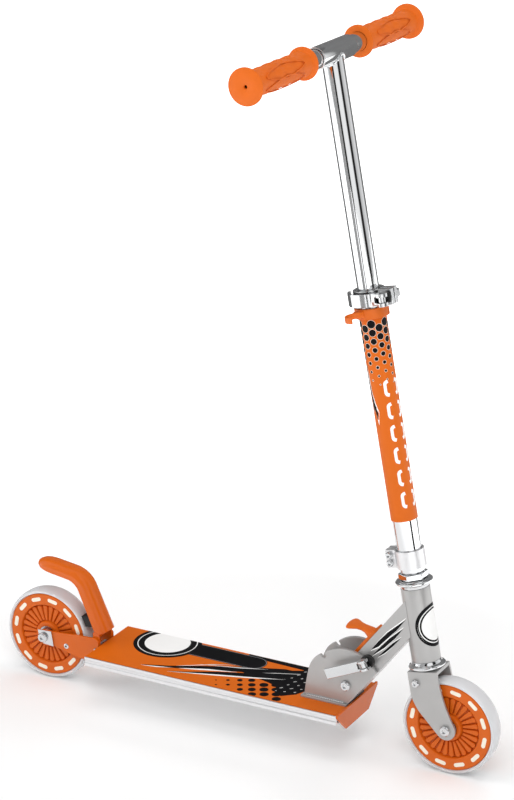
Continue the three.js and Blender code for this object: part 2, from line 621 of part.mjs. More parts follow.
// ---- Fork and steering column, in a frame at the foot of the steering axis with Z along it ----
function forkGeometry() {
  const half = BRACKET_GAP / 2;
  const back = -18;
  const front = FORK_OFFSET;
  const end = 12.5;
  const outline = new THREE.Shape();
  outline.moveTo(back, CROWN_HEIGHT);
  outline.lineTo(back, CROWN_HEIGHT - 26);
  outline.quadraticCurveTo(back + 1, 34, back + 8, 22);
  const lower = THREE.MathUtils.degToRad(215);
  outline.lineTo(FORK_OFFSET + end * Math.cos(lower), end * Math.sin(lower));
  outline.absarc(FORK_OFFSET, 0, end, lower, THREE.MathUtils.degToRad(382), false);
  outline.quadraticCurveTo(front + 3, 30, front + 1, CROWN_HEIGHT - 18);
  outline.lineTo(front, CROWN_HEIGHT);
  const legs = SIDES.map(([, sign]) => {
    const y0 = sign > 0 ? half : -LEG_OUTER;
    return plate(outline, y0, y0 + BRACKET_PLATE, 10);
  });
  const crown = block(back, front, -LEG_OUTER, LEG_OUTER, CROWN_HEIGHT - 4, CROWN_HEIGHT);
  const boss = BEARING_OUTER_FACE + CLEARANCE;
  const dimples = SIDES.map(([, sign]) => {
    const ends = [sign * boss, sign * (half + 1)].sort((a, b) => a - b);
    return alongY(rod(7, ...ends)).translate(FORK_OFFSET, 0, 0);
  });
  const axle = alongY(rod(AXLE_DIAMETER / 2 + CLEARANCE, -40, 40)).translate(FORK_OFFSET, 0, 0);
  const cross = alongY(rod(3 + CLEARANCE, -40, 40)).translate(-9, 0, CROWN_HEIGHT - 14);
  return cut(join(crown, ...legs, ...dimples), axle, cross);
}

function cupGeometry(z0, z1, flangeAtTop) {
  const inner = STEERER_DIAMETER / 2 + RUNNING;
  const [wide, narrow] = flangeAtTop ? [z1 - 3, z0] : [z0 + 3, z1];
  const away = flangeAtTop ? z1 : z0;
  const rim = HEAD_TUBE_DIAMETER / 2 + 5;
  const neck = HEAD_TUBE_DIAMETER / 2;
  const points = [
    [inner, narrow], [neck, narrow], [neck + 1, (narrow + wide) / 2], [rim, wide], [rim - 1.5, away], [inner, away], [inner, narrow],
  ];
  return turned(points);
}

function splitCollar({ outer, z0, z1, ear, sign, boltZs, boltRadius, boltX }) {
  const ring = rod(outer, z0, z1, ROUND);
  const lug = block(Math.min(0, sign * ear), Math.max(0, sign * ear), -8, 8, z0, z1);
  const bore = rod(COLUMN_DIAMETER / 2 + CLEARANCE, z0 - 1, z1 + 1, ROUND);
  const slit = block(Math.min(0, sign * (ear + 1)), Math.max(0, sign * (ear + 1)), -1, 1, z0 - 1, z1 + 1);
  const holes = boltZs.map((z) => alongY(rod(boltRadius + CLEARANCE, -30, 30)).translate(boltX, 0, z));
  return cut(join(ring, lug), bore, slit, ...holes);
}

const CLIP_SPAN = 34; // from the steering axis to the middle of each handle's cradle
function clipGeometry() {
  const [z0, z1] = [CLIP_FOOT, CLIP_FOOT + CLIP_HEIGHT];
  const [low, high] = [z0 + 3, z1 - 2];
  const ring = rod(20, z0, z1, ROUND);
  const cradles = SIDES.map(([, sign]) => {
    const outer = rod(BAR_DIAMETER / 2 + 3, low, high).translate(-2, sign * CLIP_SPAN, 0);
    const inner = rod(BAR_DIAMETER / 2 + 0.4, low - 1, high + 1).translate(-2, sign * CLIP_SPAN, 0);
    const mouth = block(-2, 20, sign * CLIP_SPAN - 20, sign * CLIP_SPAN + 20, low - 1, high + 1);
    return cut(outer, inner, mouth);
  });
  const arms = SIDES.map(([, sign]) => {
    const ends = [sign * 18, sign * (CLIP_SPAN - BAR_DIAMETER / 2 - 1)].sort((a, b) => a - b);
    return block(-13, 0, ...ends, low, high);
  });
  const bore = rod(COLUMN_DIAMETER / 2 + CLEARANCE, z0 - 1, z1 + 1, ROUND);
  return cut(join(ring, ...cradles, ...arms), bore);
}

function teeGeometry() {
  const stem = pipe(UPPER_TUBE_DIAMETER / 2, UPPER_TUBE_DIAMETER / 2 - UPPER_TUBE_WALL, UPPER_TUBE_FOOT, HANDLE_HEIGHT - 4);
  const half = TEE_LENGTH / 2;
  const sleeve = alongY(rod(TEE_DIAMETER / 2, -half, half, ROUND)).translate(0, 0, HANDLE_HEIGHT);
  const bore = alongY(rod(BAR_DIAMETER / 2 + CLEARANCE, -half - 1, half + 1, ROUND)).translate(0, 0, HANDLE_HEIGHT);
  return cut(join(stem, sleeve), bore);
}

function gripGeometry(sign) {
  const inner = BAR_DIAMETER / 2 + CLEARANCE;
  const body = GRIP_DIAMETER / 2;
  const flange = GRIP_FLANGE_DIAMETER / 2;
  const points = [
    [0, GRIP_OUTER], [flange - 1, GRIP_OUTER], [flange, GRIP_OUTER - 1], [flange, GRIP_OUTER - 3],
    [flange - 1, GRIP_OUTER - 4], [body, GRIP_OUTER - 6], [body, GRIP_INNER + 5], [flange - 3, GRIP_INNER + 4],
    [flange - 2, GRIP_INNER + 3], [flange - 2, GRIP_INNER + 1], [flange - 3, GRIP_INNER], [inner, GRIP_INNER], [inner, GRIP_OUTER - 4], [0, GRIP_OUTER - 4],
  ];
  return alongY(turned(points.map(([r, y]) => [r, sign * y]))).translate(0, 0, HANDLE_HEIGHT);
}

function barGeometry(sign) {
  const r = BAR_DIAMETER / 2;
  const ends = [sign * 5, sign * (GRIP_OUTER - 4 - CLEARANCE)].sort((a, b) => a - b);
  return alongY(pipe(r, r - BAR_WALL, ...ends)).translate(0, 0, HANDLE_HEIGHT);
}

// ---- Assembly: deck and rear end ----
add(scooter, "deck_platform", deckGeometry(), ALUMINIUM);
add(scooter, "deck_sheet", sheetGeometry(), ORANGE_PAINT);
add(scooter, "front_guard", guardGeometry(), ORANGE_PAINT);
add(scooter, "fold_base", foldBaseGeometry(), SILVER_PAINT);
for (const [side, sign] of SIDES) {
  add(scooter, `rear_bracket_${side}`, bracketGeometry(sign), ORANGE_PAINT);
  add(scooter, `axle_plate_${side}`, axlePlateGeometry(sign), STEEL);
  add(scooter, `fold_plate_${side}`, foldPlateGeometry(sign), ALUMINIUM);
}
const REAR_FACE = LEG_OUTER + 2 + CLEARANCE * 2;
const rearEnd = frameAt(scooter, REAR_X, 0, WHEEL_RADIUS);
add(rearEnd, "rear_axle_bolt", bolt(AXLE_DIAMETER / 2, -REAR_FACE, REAR_FACE + 8, 6.5, 4), STEEL);
add(rearEnd, "rear_axle_nut", alongY(nut(12, AXLE_DIAMETER / 2 + CLEARANCE, REAR_FACE, REAR_FACE + 6)), STEEL);
wheel("rear", rearEnd);
const pinLength = LEG_OUTER + 1;
const pin = alongY(rod(BRAKE_PIN_DIAMETER / 2, -pinLength, pinLength)).translate(BRAKE_PIN_X, 0, BRAKE_PIN_Z);
add(scooter, "brake_pivot_pin", pin, STEEL);
add(scooter, "brake_spring", springSleeve(), STEEL);
add(scooter, "brake_fender", brakeGeometry(), ORANGE_PAINT);
add(scooter, "brake_shoe", shoeGeometry(), BLACK_RUBBER);

// ---- Assembly: fold block and neck ----
const neck = frameAt(scooter, PIVOT_X, 0, PIVOT_Z, SLOPE);
const foldFace = FOLD_PLATE_OUTER + CLEARANCE;
add(neck, "fold_pivot_bolt", bolt(PIVOT_BOLT_DIAMETER / 2, -foldFace, foldFace + 8, 6.5, 4), STEEL);
add(neck, "fold_pivot_nut", alongY(nut(12, PIVOT_BOLT_DIAMETER / 2 + CLEARANCE, foldFace, foldFace + 6)), STEEL);
add(neck, "neck_tube", neckGeometry(), SILVER_PAINT);
add(neck, "release_pull", releaseGeometry(), ORANGE_PLASTIC);
const lock = frameAt(neck, LOCK_PIN_REACH, 0, 0, THREE.MathUtils.degToRad(-28));
const CUP_DEPTH = 6;
const CUP_RADIUS = 8.5;
const cupFace = FOLD_PLATE_OUTER + RUNNING;
const foldCam = cupFace + CUP_DEPTH + CAM_RADIUS + CLEARANCE;
add(lock, "lock_skewer", camSkewer(LOCK_PIN_DIAMETER / 2, -foldCam, cupFace + 9), STEEL);
const cup = pipe(CUP_RADIUS, LOCK_PIN_DIAMETER / 2 + CLEARANCE, -cupFace - CUP_DEPTH, -cupFace);
add(lock, "lock_cup", alongY(cup), BLACK_PLASTIC);
add(lock, "lock_nut", alongY(nut(10, LOCK_PIN_DIAMETER / 2 + CLEARANCE, cupFace, cupFace + 7)), STEEL);
const foldArm = block(-55, -2, -foldCam - 2, -foldCam + 2, -6.5, 6.5);
add(lock, "lock_lever", camLever(foldArm, -foldCam, 6.5), ALUMINIUM);

// ---- Assembly: fork, headset and steering column ----
const steering = frameAt(scooter, FOOT_X, 0, FOOT_Z, LEAN);
add(steering, "head_tube", pipe(HEAD_TUBE_DIAMETER / 2, STEERER_DIAMETER / 2 + 1.5, HEAD_TUBE_FOOT, HEAD_TUBE_TOP), SILVER_PAINT);
add(steering, "lower_headset_cup", cupGeometry(CROWN_HEIGHT + RUNNING, HEAD_TUBE_FOOT - CLEARANCE, false), CHROME);
add(steering, "upper_headset_cup", cupGeometry(HEAD_TUBE_TOP + CLEARANCE, HEAD_TUBE_TOP + CUP_HEIGHT, true), CHROME);
const threads = nut(LOCKNUT_FLATS, STEERER_DIAMETER / 2 + CLEARANCE, NUT_FOOT, NUT_FOOT + NUT_HEIGHT);
add(steering, "headset_locknut", threads, CHROME);
add(steering, "fork_legs", forkGeometry(), SILVER_PAINT);
const steerer = pipe(STEERER_DIAMETER / 2, STEERER_DIAMETER / 2 - STEERER_WALL, CROWN_HEIGHT + CLEARANCE, STEERER_TOP);
add(steering, "fork_steerer", steerer, STEEL);
const legFace = LEG_OUTER + CLEARANCE;
const crownJoint = frameAt(steering, -9, 0, CROWN_HEIGHT - 14);
add(crownJoint, "fork_crown_bolt", bolt(3, -legFace, legFace + 6, 5, 3.5), STEEL);
add(crownJoint, "fork_crown_nut", alongY(nut(10, 3 + CLEARANCE, legFace, legFace + 5)), STEEL);
const frontEnd = frameAt(steering, FORK_OFFSET, 0, 0);
add(frontEnd, "front_axle_bolt", bolt(AXLE_DIAMETER / 2, -legFace, legFace + 8, 6.5, 4), STEEL);
add(frontEnd, "front_axle_nut", alongY(nut(12, AXLE_DIAMETER / 2 + CLEARANCE, legFace, legFace + 6)), STEEL);
wheel("front", frontEnd);

const columnRadius = COLUMN_DIAMETER / 2;
add(steering, "lower_tube", pipe(columnRadius, columnRadius - COLUMN_WALL, COLUMN_FOOT, COLUMN_TOP), CHROME);
const wrapInner = columnRadius + CLEARANCE;
add(steering, "column_wrap", pipe(wrapInner + 0.6, wrapInner, WRAP_FOOT, WRAP_TOP), ORANGE_PAINT);
const clampBoltX = -columnRadius - 8;
const clampBolts = [CLAMP_FOOT + 6, CLAMP_FOOT + COLLAR_HEIGHT - 6];
const clamp = splitCollar({
  outer: columnRadius + 2.6, z0: CLAMP_FOOT, z1: CLAMP_FOOT + COLLAR_HEIGHT, ear: columnRadius + 13, sign: -1,
  boltZs: clampBolts, boltRadius: 2.5, boltX: clampBoltX,
});
add(steering, "clamp_collar", clamp, CHROME);
clampBolts.forEach((z, i) => {
  const at = frameAt(steering, clampBoltX, 0, z);
  add(at, `clamp_bolt_${i ? "upper" : "lower"}`, bolt(2.5, -8 - CLEARANCE, 11, 4.2, 4), STEEL);
});
add(steering, "grip_clip", clipGeometry(), ORANGE_PLASTIC);
const qrX = columnRadius + 10;
const qrZ = QR_COLLAR_FOOT + QR_COLLAR_HEIGHT / 2;
const heightCollar = splitCollar({
  outer: columnRadius + 3.4, z0: QR_COLLAR_FOOT, z1: QR_COLLAR_FOOT + QR_COLLAR_HEIGHT, ear: qrX + 7, sign: 1,
  boltZs: [qrZ], boltRadius: 2.9, boltX: qrX,
});
add(steering, "height_collar", heightCollar, CHROME);
const height = frameAt(steering, qrX, 0, qrZ);
const washerFace = 8 + CLEARANCE;
const heightCam = washerFace + 3 + CAM_RADIUS + CLEARANCE;
add(height, "height_skewer", camSkewer(2.9, -heightCam, washerFace + 9), STEEL);
add(height, "height_washer", alongY(pipe(7.5, 2.9 + CLEARANCE, -washerFace - 3, -washerFace)), BLACK_PLASTIC);
add(height, "height_nut", alongY(nut(13, 2.9 + CLEARANCE, washerFace, washerFace + 7)), CHROME);

// The height lever curls back round the collar.
function heightLever() {
  const inner = columnRadius + 7;
  const arc = cut(rod(inner + 3, -7.5, 7.5, FINE), rod(inner, -9, 9, FINE));
  const wedge = new THREE.Shape();
  wedge.moveTo(0, 0);
  wedge.lineTo(60 * Math.cos(-0.75), 60 * Math.sin(-0.75));
  wedge.lineTo(40, -90);
  wedge.lineTo(-90, -90);
  wedge.lineTo(-60, -6);
  const sector = new THREE.ExtrudeGeometry(wedge, { depth: 40, bevelEnabled: false }).translate(0, 0, -20);
  const curl = common(arc, sector).translate(-qrX, 0, 0);
  const reach = block(-12, 0, -heightCam - 3, -heightCam + 3, -7.5, 7.5);
  return camLever(join(curl, reach), -heightCam, 7.5);
}
add(height, "height_lever", heightLever(), ALUMINIUM);

// ---- Assembly: telescopic stem and handles ----
add(steering, "upper_tube", teeGeometry(), CHROME);
for (const [side, sign] of SIDES) {
  add(steering, `handle_tube_${side}`, barGeometry(sign), CHROME);
  add(steering, `grip_${side}`, gripGeometry(sign), ORANGE_RUBBER);
}

export default scooter;
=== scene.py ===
import json
import math

import bmesh
import bpy
from mathutils import Matrix, Vector


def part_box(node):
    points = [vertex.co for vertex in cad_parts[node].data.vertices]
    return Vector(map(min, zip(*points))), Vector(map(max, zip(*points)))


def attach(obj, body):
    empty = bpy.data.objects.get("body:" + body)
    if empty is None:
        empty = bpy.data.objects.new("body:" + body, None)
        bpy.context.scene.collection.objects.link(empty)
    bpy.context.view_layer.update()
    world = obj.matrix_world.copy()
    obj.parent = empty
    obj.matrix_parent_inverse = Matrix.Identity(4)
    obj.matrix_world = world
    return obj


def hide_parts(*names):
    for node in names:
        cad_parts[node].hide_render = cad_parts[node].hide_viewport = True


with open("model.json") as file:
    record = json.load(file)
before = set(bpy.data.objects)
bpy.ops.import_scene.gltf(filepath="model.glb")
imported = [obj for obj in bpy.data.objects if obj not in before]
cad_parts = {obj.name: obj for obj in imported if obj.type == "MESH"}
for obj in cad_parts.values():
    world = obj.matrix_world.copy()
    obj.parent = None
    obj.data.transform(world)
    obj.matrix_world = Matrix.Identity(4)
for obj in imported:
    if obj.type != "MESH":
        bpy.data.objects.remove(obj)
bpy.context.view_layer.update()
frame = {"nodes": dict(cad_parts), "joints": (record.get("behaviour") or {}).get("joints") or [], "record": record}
MM = 0.001
JOINTS = {j["name"]: j for j in frame["joints"]}
BODY = {n: b for b, ns in frame["record"]["behaviour"]["bodies"].items() for n in ns}
SLOT = {p["node"]: p["material_slot"] for p in frame["record"]["subparts"]}


def centre(node):
    low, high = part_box(node)
    return (low + high) / 2


# ---------------------------------------------------------------- materials
def shader(name, base, rough, metallic=0.0, spread=0.06, tone=0.05, scale=60.0, bump=0.08,
           grain=(1, 1, 1), **sockets):
    """A Principled material whose colour and roughness vary a little over the surface, with a fine bump."""
    m = bpy.data.materials.new(name)
    m.use_nodes = True
    t = m.node_tree
    p = t.nodes["Principled BSDF"]
    coords = t.nodes.new("ShaderNodeTexCoord")
    stretch = t.nodes.new("ShaderNodeMapping")
    stretch.inputs["Scale"].default_value = grain
    t.links.new(coords.outputs["Object"], stretch.inputs["Vector"])
    cloud = t.nodes.new("ShaderNodeTexNoise")
    cloud.inputs["Scale"].default_value = scale
    cloud.inputs["Detail"].default_value = 4
    fine = t.nodes.new("ShaderNodeTexNoise")
    fine.inputs["Scale"].default_value = scale * 22
    fine.inputs["Detail"].default_value = 3
    for n in (cloud, fine):
        t.links.new(stretch.outputs["Vector"], n.inputs["Vector"])
    mix = t.nodes.new("ShaderNodeMix")
    mix.data_type = "RGBA"
    mix.inputs["A"].default_value = [c * (1 - tone) for c in base] + [1]
    mix.inputs["B"].default_value = [min(1, c * (1 + tone)) for c in base] + [1]
    t.links.new(cloud.outputs["Fac"], mix.inputs["Factor"])
    t.links.new(mix.outputs["Result"], p.inputs["Base Color"])
    span = t.nodes.new("ShaderNodeMapRange")
    span.inputs["To Min"].default_value = max(0.01, rough - spread)
    span.inputs["To Max"].default_value = min(1, rough + spread)
    t.links.new(fine.outputs["Fac"], span.inputs["Value"])
    t.links.new(span.outputs["Result"], p.inputs["Roughness"])
    b = t.nodes.new("ShaderNodeBump")
    b.inputs["Strength"].default_value = bump
    b.inputs["Distance"].default_value = 0.0002
    t.links.new(fine.outputs["Fac"], b.inputs["Height"])
    t.links.new(b.outputs["Normal"], p.inputs["Normal"])
    p.inputs["Metallic"].default_value = metallic
    for key, value in sockets.items():
        p.inputs[key.replace("_", " ")].default_value = value
    return m


M = {
    "paint": shader("orange_enamel", (0.66, 0.118, 0.003), 0.24, tone=0.04, bump=0.03,
                    Specular_IOR_Level=0.3, Coat_Weight=0.22, Coat_Roughness=0.08),
    "sheet": shader("orange_printed_sheet", (0.66, 0.128, 0.003), 0.5, tone=0.05, bump=0.05, Specular_IOR_Level=0.25),
    "plastic": shader("orange_moulded_plastic", (0.66, 0.125, 0.004), 0.4, tone=0.05, bump=0.05, Specular_IOR_Level=0.35),
    "core": shader("orange_wheel_plastic", (0.66, 0.12, 0.005), 0.4, tone=0.08, bump=0.06,
                   Specular_IOR_Level=0.3),
    "grip": shader("orange_rubber_grip", (0.66, 0.125, 0.006), 0.6, tone=0.07, bump=0.25, scale=90,
                   Specular_IOR_Level=0.3),
    "chrome": shader("chrome_plate", (0.80, 0.81, 0.82), 0.07, 1.0, spread=0.03, tone=0.02, bump=0.008),
    "satin": shader("satin_aluminium", (0.82, 0.82, 0.83), 0.38, 0.8, spread=0.06, tone=0.05, bump=0.05,
                    grain=(0.06, 1, 1)),
    "bright": shader("polished_steel", (0.70, 0.71, 0.72), 0.16, 1.0, tone=0.04, bump=0.02),
    "silver": shader("silver_metallic_paint", (0.45, 0.445, 0.44), 0.36, 0.45, tone=0.05, bump=0.04,
                     Coat_Weight=0.35, Coat_Roughness=0.15),
    "steel": shader("zinc_plated_steel", (0.52, 0.53, 0.54), 0.26, 1.0, tone=0.06, bump=0.04),
    "black": shader("black_moulded_plastic", (0.012, 0.012, 0.012), 0.42, tone=0.2, bump=0.06),
    "black_rubber": shader("black_rubber", (0.014, 0.014, 0.014), 0.75, tone=0.2, bump=0.2),
    "ink": shader("black_ink", (0.004, 0.004, 0.005), 0.5, tone=0.2, bump=0.03, Specular_IOR_Level=0.12),
    "white": shader("white_ink", (0.92, 0.92, 0.91), 0.45, tone=0.02, bump=0.02, Specular_IOR_Level=0.2),
    "grey": shader("grey_ink", (0.30, 0.30, 0.31), 0.38, tone=0.06, bump=0.02),
    "slot": shader("pale_insert", (0.92, 0.86, 0.72), 0.42, tone=0.04, bump=0.03),
    "tyre": shader("clear_polyurethane", (0.95, 0.96, 0.98), 0.18, tone=0.02, bump=0.02, scale=35,
                   Transmission_Weight=0.38, IOR=1.46),
}


# ---------------------------------------------------------------- mesh helpers
def piece(name, bm, material, body, replaces=(), slot=None, bevel=0.0, angle=34):
    bmesh.ops.recalc_face_normals(bm, faces=bm.faces)
    mesh = bpy.data.meshes.new(name)
    bm.to_mesh(mesh)
    bm.free()
    for face in mesh.polygons:
        face.use_smooth = True
    mesh.set_sharp_from_angle(angle=math.radians(angle))
    mesh.materials.append(material)
    obj = bpy.data.objects.new(name, mesh)
    bpy.context.scene.collection.objects.link(obj)
    if bevel:
        b = obj.modifiers.new("edge", "BEVEL")
        b.width, b.segments, b.limit_method = bevel * MM, 2, "ANGLE"
        b.angle_limit = math.radians(angle)
    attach(obj, body)
    if replaces:
        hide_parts(*replaces)
        slot = slot or SLOT[replaces[0]]
    return obj


def polished(node, material, bevel=0.35, angle=34):
    """A piece with the CAD node's own shape, its flat faces joined up and its edges rounded."""
    bm = bmesh.new()
    bm.from_mesh(frame["nodes"][node].data)
    bmesh.ops.remove_doubles(bm, verts=bm.verts, dist=2e-6)
    bmesh.ops.dissolve_limit(bm, angle_limit=math.radians(1.0), verts=bm.verts, edges=bm.edges)
    return piece(node + "_finish", bm, material, BODY[node], (node,), bevel=bevel, angle=angle)


def axes(axis):
    a = Vector(axis).normalized()
    x = Vector((1, 0, 0)) if abs(a.x) < 0.9 else Vector((0, 0, 1))
    x = (x - a * x.dot(a)).normalized()
    return x, a.cross(x), a


def rings(bm, loops, closed=False):
    """Faces between loops of points with equal counts; a loop of one point is a pole."""
    made = [[bm.verts.new(p) for p in loop] for loop in loops]
    pairs = list(zip(made, made[1:])) + ([(made[-1], made[0])] if closed else [])
    for a, b in pairs:
        count = max(len(a), len(b))
        for j in range(count):
            k = (j + 1) % count
            corners = [a[j % len(a)], a[k % len(a)], b[k % len(b)], b[j % len(b)]]
            corners = [c for i, c in enumerate(corners) if c not in corners[:i]]
            if len(corners) > 2:
                bm.faces.new(corners)
    return made


def lathe(bm, profile, origin, axis, sides=72, closed=True):
    """A solid of revolution from (radius, height) points in millimetres."""
    x, y, a = axes(axis)
    origin = Vector(origin)
    loops = []
    for r, h in profile:
        if r <= 1e-6:
            loops.append([origin + a * h * MM])
            continue
        loops.append([
            origin + (x * math.cos(t) + y * math.sin(t)) * r * MM + a * h * MM
            for t in (2 * math.pi * i / sides for i in range(sides))
        ])
    rings(bm, loops, closed)


def rounded(profile, size=0.5, steps=3):
    """The profile with each sharp corner cut to a small arc."""
    out = []
    count = len(profile)
    for i, (r, h) in enumerate(profile):
        p, a, b = Vector((r, h)), Vector(profile[i - 1]), Vector(profile[(i + 1) % count])
        if r <= 1e-6 or (a - p).length < 1e-6 or (b - p).length < 1e-6:
            out.append((r, h))
            continue
        cut = min(size, (a - p).length * 0.45, (b - p).length * 0.45)
        start, end = p + (a - p).normalized() * cut, p + (b - p).normalized() * cut
        for s in range(steps + 1):
            t = s / steps
            q = start * (1 - t) ** 2 + p * 2 * t * (1 - t) + end * t * t
            out.append((max(q.x, 0), q.y))
    return out


def turned(name, profile, origin, axis, material, body, replaces=(), slot=None, sides=72, soft=0.5):
    bm = bmesh.new()
    closed = all(r > 1e-6 for r, _ in profile)
    lathe(bm, rounded(profile, soft) if closed else profile, origin, axis, sides, closed)
    return piece(name, bm, material, body, replaces, slot)


def outline_slab(bm, loop, place, low, high, rows=1):
    """A thin closed solid over a flat outline; place(u, v, height) says where a point goes."""
    count = len(loop)
    cu, cv = sum(p[0] for p in loop) / count, sum(p[1] for p in loop) / count
    shares = [1 - i / (rows + 1) for i in range(rows + 1)]
    top = [[place(cu + (u - cu) * s, cv + (v - cv) * s, high) for u, v in loop] for s in shares]
    foot = [[place(cu + (u - cu) * s, cv + (v - cv) * s, low) for u, v in loop] for s in reversed(shares)]
    rings(bm, [[place(cu, cv, low)], *foot, *top, [place(cu, cv, high)]])


def band_slab(bm, outer, inner, place, low, high):
    """The thin closed solid between two outlines with equal point counts."""
    loops = [[place(u, v, h) for u, v in loop]
             for loop, h in ((outer, low), (outer, high), (inner, high), (inner, low))]
    rings(bm, loops, closed=True)


def clip(loop, axis, limit, sign):
    """The part of a loop on one side of a line at u or v = limit."""
    out = []
    for i, p in enumerate(loop):
        q = loop[(i + 1) % len(loop)]
        inside, after = sign * (limit - p[axis]) >= 0, sign * (limit - q[axis]) >= 0
        if inside:
            out.append(p)
        if inside != after:
            t = (limit - p[axis]) / (q[axis] - p[axis])
            out.append((p[0] + (q[0] - p[0]) * t, p[1] + (q[1] - p[1]) * t))
    return out


def circle(cx, cy, r, count):
    turns = [2 * math.pi * i / count for i in range(count)]
    return [(cx + r * math.cos(a), cy + r * math.sin(a)) for a in turns]


def capsule(x0, x1, y, r, count=14):
    left = [(x0 + r * math.cos(a), y + r * math.sin(a))
            for a in (math.pi / 2 + math.pi * i / count for i in range(count + 1))]
    right = [(x1 + r * math.cos(a), y + r * math.sin(a))
             for a in (-math.pi / 2 + math.pi * i / count for i in range(count + 1))]
    return left + right


def round_box(u, v, width, height, r, count=4):
    """A rectangle with round corners."""
    out = []
    for sx, sy, start in ((1, 1, 0), (-1, 1, 90), (-1, -1, 180), (1, -1, 270)):
        for i in range(count + 1):
            a = math.radians(start + 90 * i / count)
            x = sx * (width / 2 - r) + r * math.cos(a)
            y = sy * (height / 2 - r) + r * math.sin(a)
            out.append((u + x, v + y))
    return out


# ---------------------------------------------------------------- wheels
PETALS = 26


def wheel(end, body):
    c = centre(end + "_tyre")
    low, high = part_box(end + "_tyre")
    outer = (high.z - low.z) / 2 / MM
    half = (high.y - low.y) / 2 / MM
    clow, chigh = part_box(end + "_wheel_core")
    core = (chigh.z - clow.z) / 2 / MM
    seat = core + 0.3
    crown = []
    for i in range(25):
        a = math.pi * i / 24
        crown.append((seat + 1 + (outer - seat - 1.02) * math.sin(a) ** 0.62, -half * math.cos(a)))
    turned(end + "_tyre_shown", [(seat, -half + 2), *crown, (seat, half - 2)], c, (0, 1, 0), M["tyre"], body,
           (end + "_tyre",), sides=128, soft=0.2)
    ring, rim, hub, web = core - 16, half - 1.0, half, half - 6.5
    side = [(9.3, 4.7), (11.2, 4.9), (11.3, hub - 0.05), (16.2, hub - 0.1), (17.6, web + 0.6), (19, web),
            (ring, web), (ring + 1.0, rim - 0.6), (ring + 2, rim), (core - 1.2, rim), (core, rim - 0.8)]
    profile = side + [(r, -y) for r, y in reversed(side)]
    bm = bmesh.new()
    lathe(bm, rounded(profile, 0.35, 2), c, (0, 1, 0), 128)
    piece(end + "_core_shown", bm, M["core"], body, (end + "_wheel_core",))
    ribs, inserts = bmesh.new(), bmesh.new()
    for sign in (-1, 1):
        for i in range(PETALS):
            turn = Matrix.Rotation(2 * math.pi * (i + 0.5) / PETALS, 4, "Y")
            place = lambda u, v, h: c + turn @ (Vector((v, sign * h, u)) * MM)
            loops = []
            for h, inset in ((web - 0.3, -0.25), (rim - 2.6, 0.0), (rim - 2.0, 0.45)):
                wide, narrow = math.pi * (ring - 1.5) / PETALS * 0.70, math.pi * 18.5 / PETALS * 0.66
                loops.append([place(u, v, h) for u, v in (
                    (18.2 + inset, narrow - inset), (18.2 + inset, inset - narrow), (ring - 2.2, inset - wide),
                    (ring - 0.5 - inset, (inset - wide) * 0.6), (ring - inset, 0),
                    (ring - 0.5 - inset, (wide - inset) * 0.6), (ring - 2.2, wide - inset))])
            made = rings(ribs, loops)
            ribs.faces.new(made[0])
            ribs.faces.new(made[-1])
        for i in range(12):
            turn = Matrix.Rotation(2 * math.pi * (i + 0.35) / 12, 4, "Y")
            place = lambda u, v, h: c + turn @ (Vector((u, sign * h, v)) * MM)
            mid = (ring + 2 + core) / 2
            bent = []
            for u, v in capsule(-4.6, 4.6, 0, 2.5, 8):
                a, r = u / mid, mid + v
                bent.append((r * math.cos(a), r * math.sin(a)))
            outline_slab(inserts, bent, place, rim - 0.2, rim + 0.22, 1)
    piece(end + "_core_petals", ribs, M["core"], body, slot=SLOT[end + "_wheel_core"], angle=30)
    piece(end + "_core_inserts", inserts, M["slot"], body, slot=SLOT[end + "_wheel_core"])
    for side_name in ("right", "left"):
        node = f"{end}_bearing_{side_name}"
        blow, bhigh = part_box(node)
        r, w = (bhigh.x - blow.x) / 2 / MM, (bhigh.y - blow.y) / 2 / MM
        dish = [(4.4, -w), (6.4, -w), (6.8, -w + 0.5), (8.6, -w + 0.5), (9.0, -w), (r - 0.05, -w),
                (r - 0.05, w), (9.0, w), (8.6, w - 0.5), (6.8, w - 0.5), (6.4, w), (4.4, w)]
        turned(node + "_shown", dish, centre(node), (0, 1, 0), M["steel"], body, (node,), soft=0.15)


wheel("rear", "rear_wheel")
wheel("front", "front_wheel")


# ---------------------------------------------------------------- bolts with a button head and hex socket
def button_head(name, node, side, radius, height, socket, body):
    """The domed head at one end of a bolt along Y, over the CAD bolt's own head."""
    c = centre(node)
    low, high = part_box(node)
    y = low.y if side < 0 else high.y
    base = Vector((c.x, y - side * height * MM, c.z))
    prof = [(socket, -0.3)]
    for i in range(9):
        a = math.pi / 2 * i / 8
        prof.append((socket + (radius - socket) * math.sin(a), height * (0.98 - 0.62 * (1 - math.cos(a)))))
    prof = [(0, height * 0.45), (socket, height * 0.45), (socket, height * 0.96)] + prof[1:] + [(radius, -0.2), (0, -0.2)]
    bm = bmesh.new()
    lathe(bm, prof, base, (0, side, 0), 48, False)
    piece(name, bm, M["bright"], body, slot=SLOT[node], angle=28)


# ---------------------------------------------------------------- deck
deck_low, deck_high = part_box("deck_sheet")
TOP = deck_high.z
EDGE_X0, EDGE_X1 = deck_low.x / MM + 0.4, deck_high.x / MM - 0.4
EDGE_Y = deck_high.y / MM - 0.4
polished("deck_platform", M["satin"], 0.4)
polished("deck_sheet", M["sheet"], 0.2)
polished("front_guard", M["paint"], 0.6)
polished("fold_base", M["silver"], 0.5)


def on_deck(u, v, h):
    return Vector((u * MM, v * MM, TOP + h * MM))


def fitted(loop):
    for axis, limit, sign in ((0, EDGE_X1, 1), (0, EDGE_X0, -1), (1, EDGE_Y, 1), (1, -EDGE_Y, -1)):
        loop = clip(loop, axis, limit, sign) if loop else loop
    return loop


def transfer(name, loops, material, low, high, rows=0):
    bm = bmesh.new()
    for loop in loops:
        loop = fitted(loop)
        if len(loop) > 2:
            outline_slab(bm, loop, on_deck, low, high, rows)
    return piece(name, bm, M[material], "deck", slot="orange_paint")


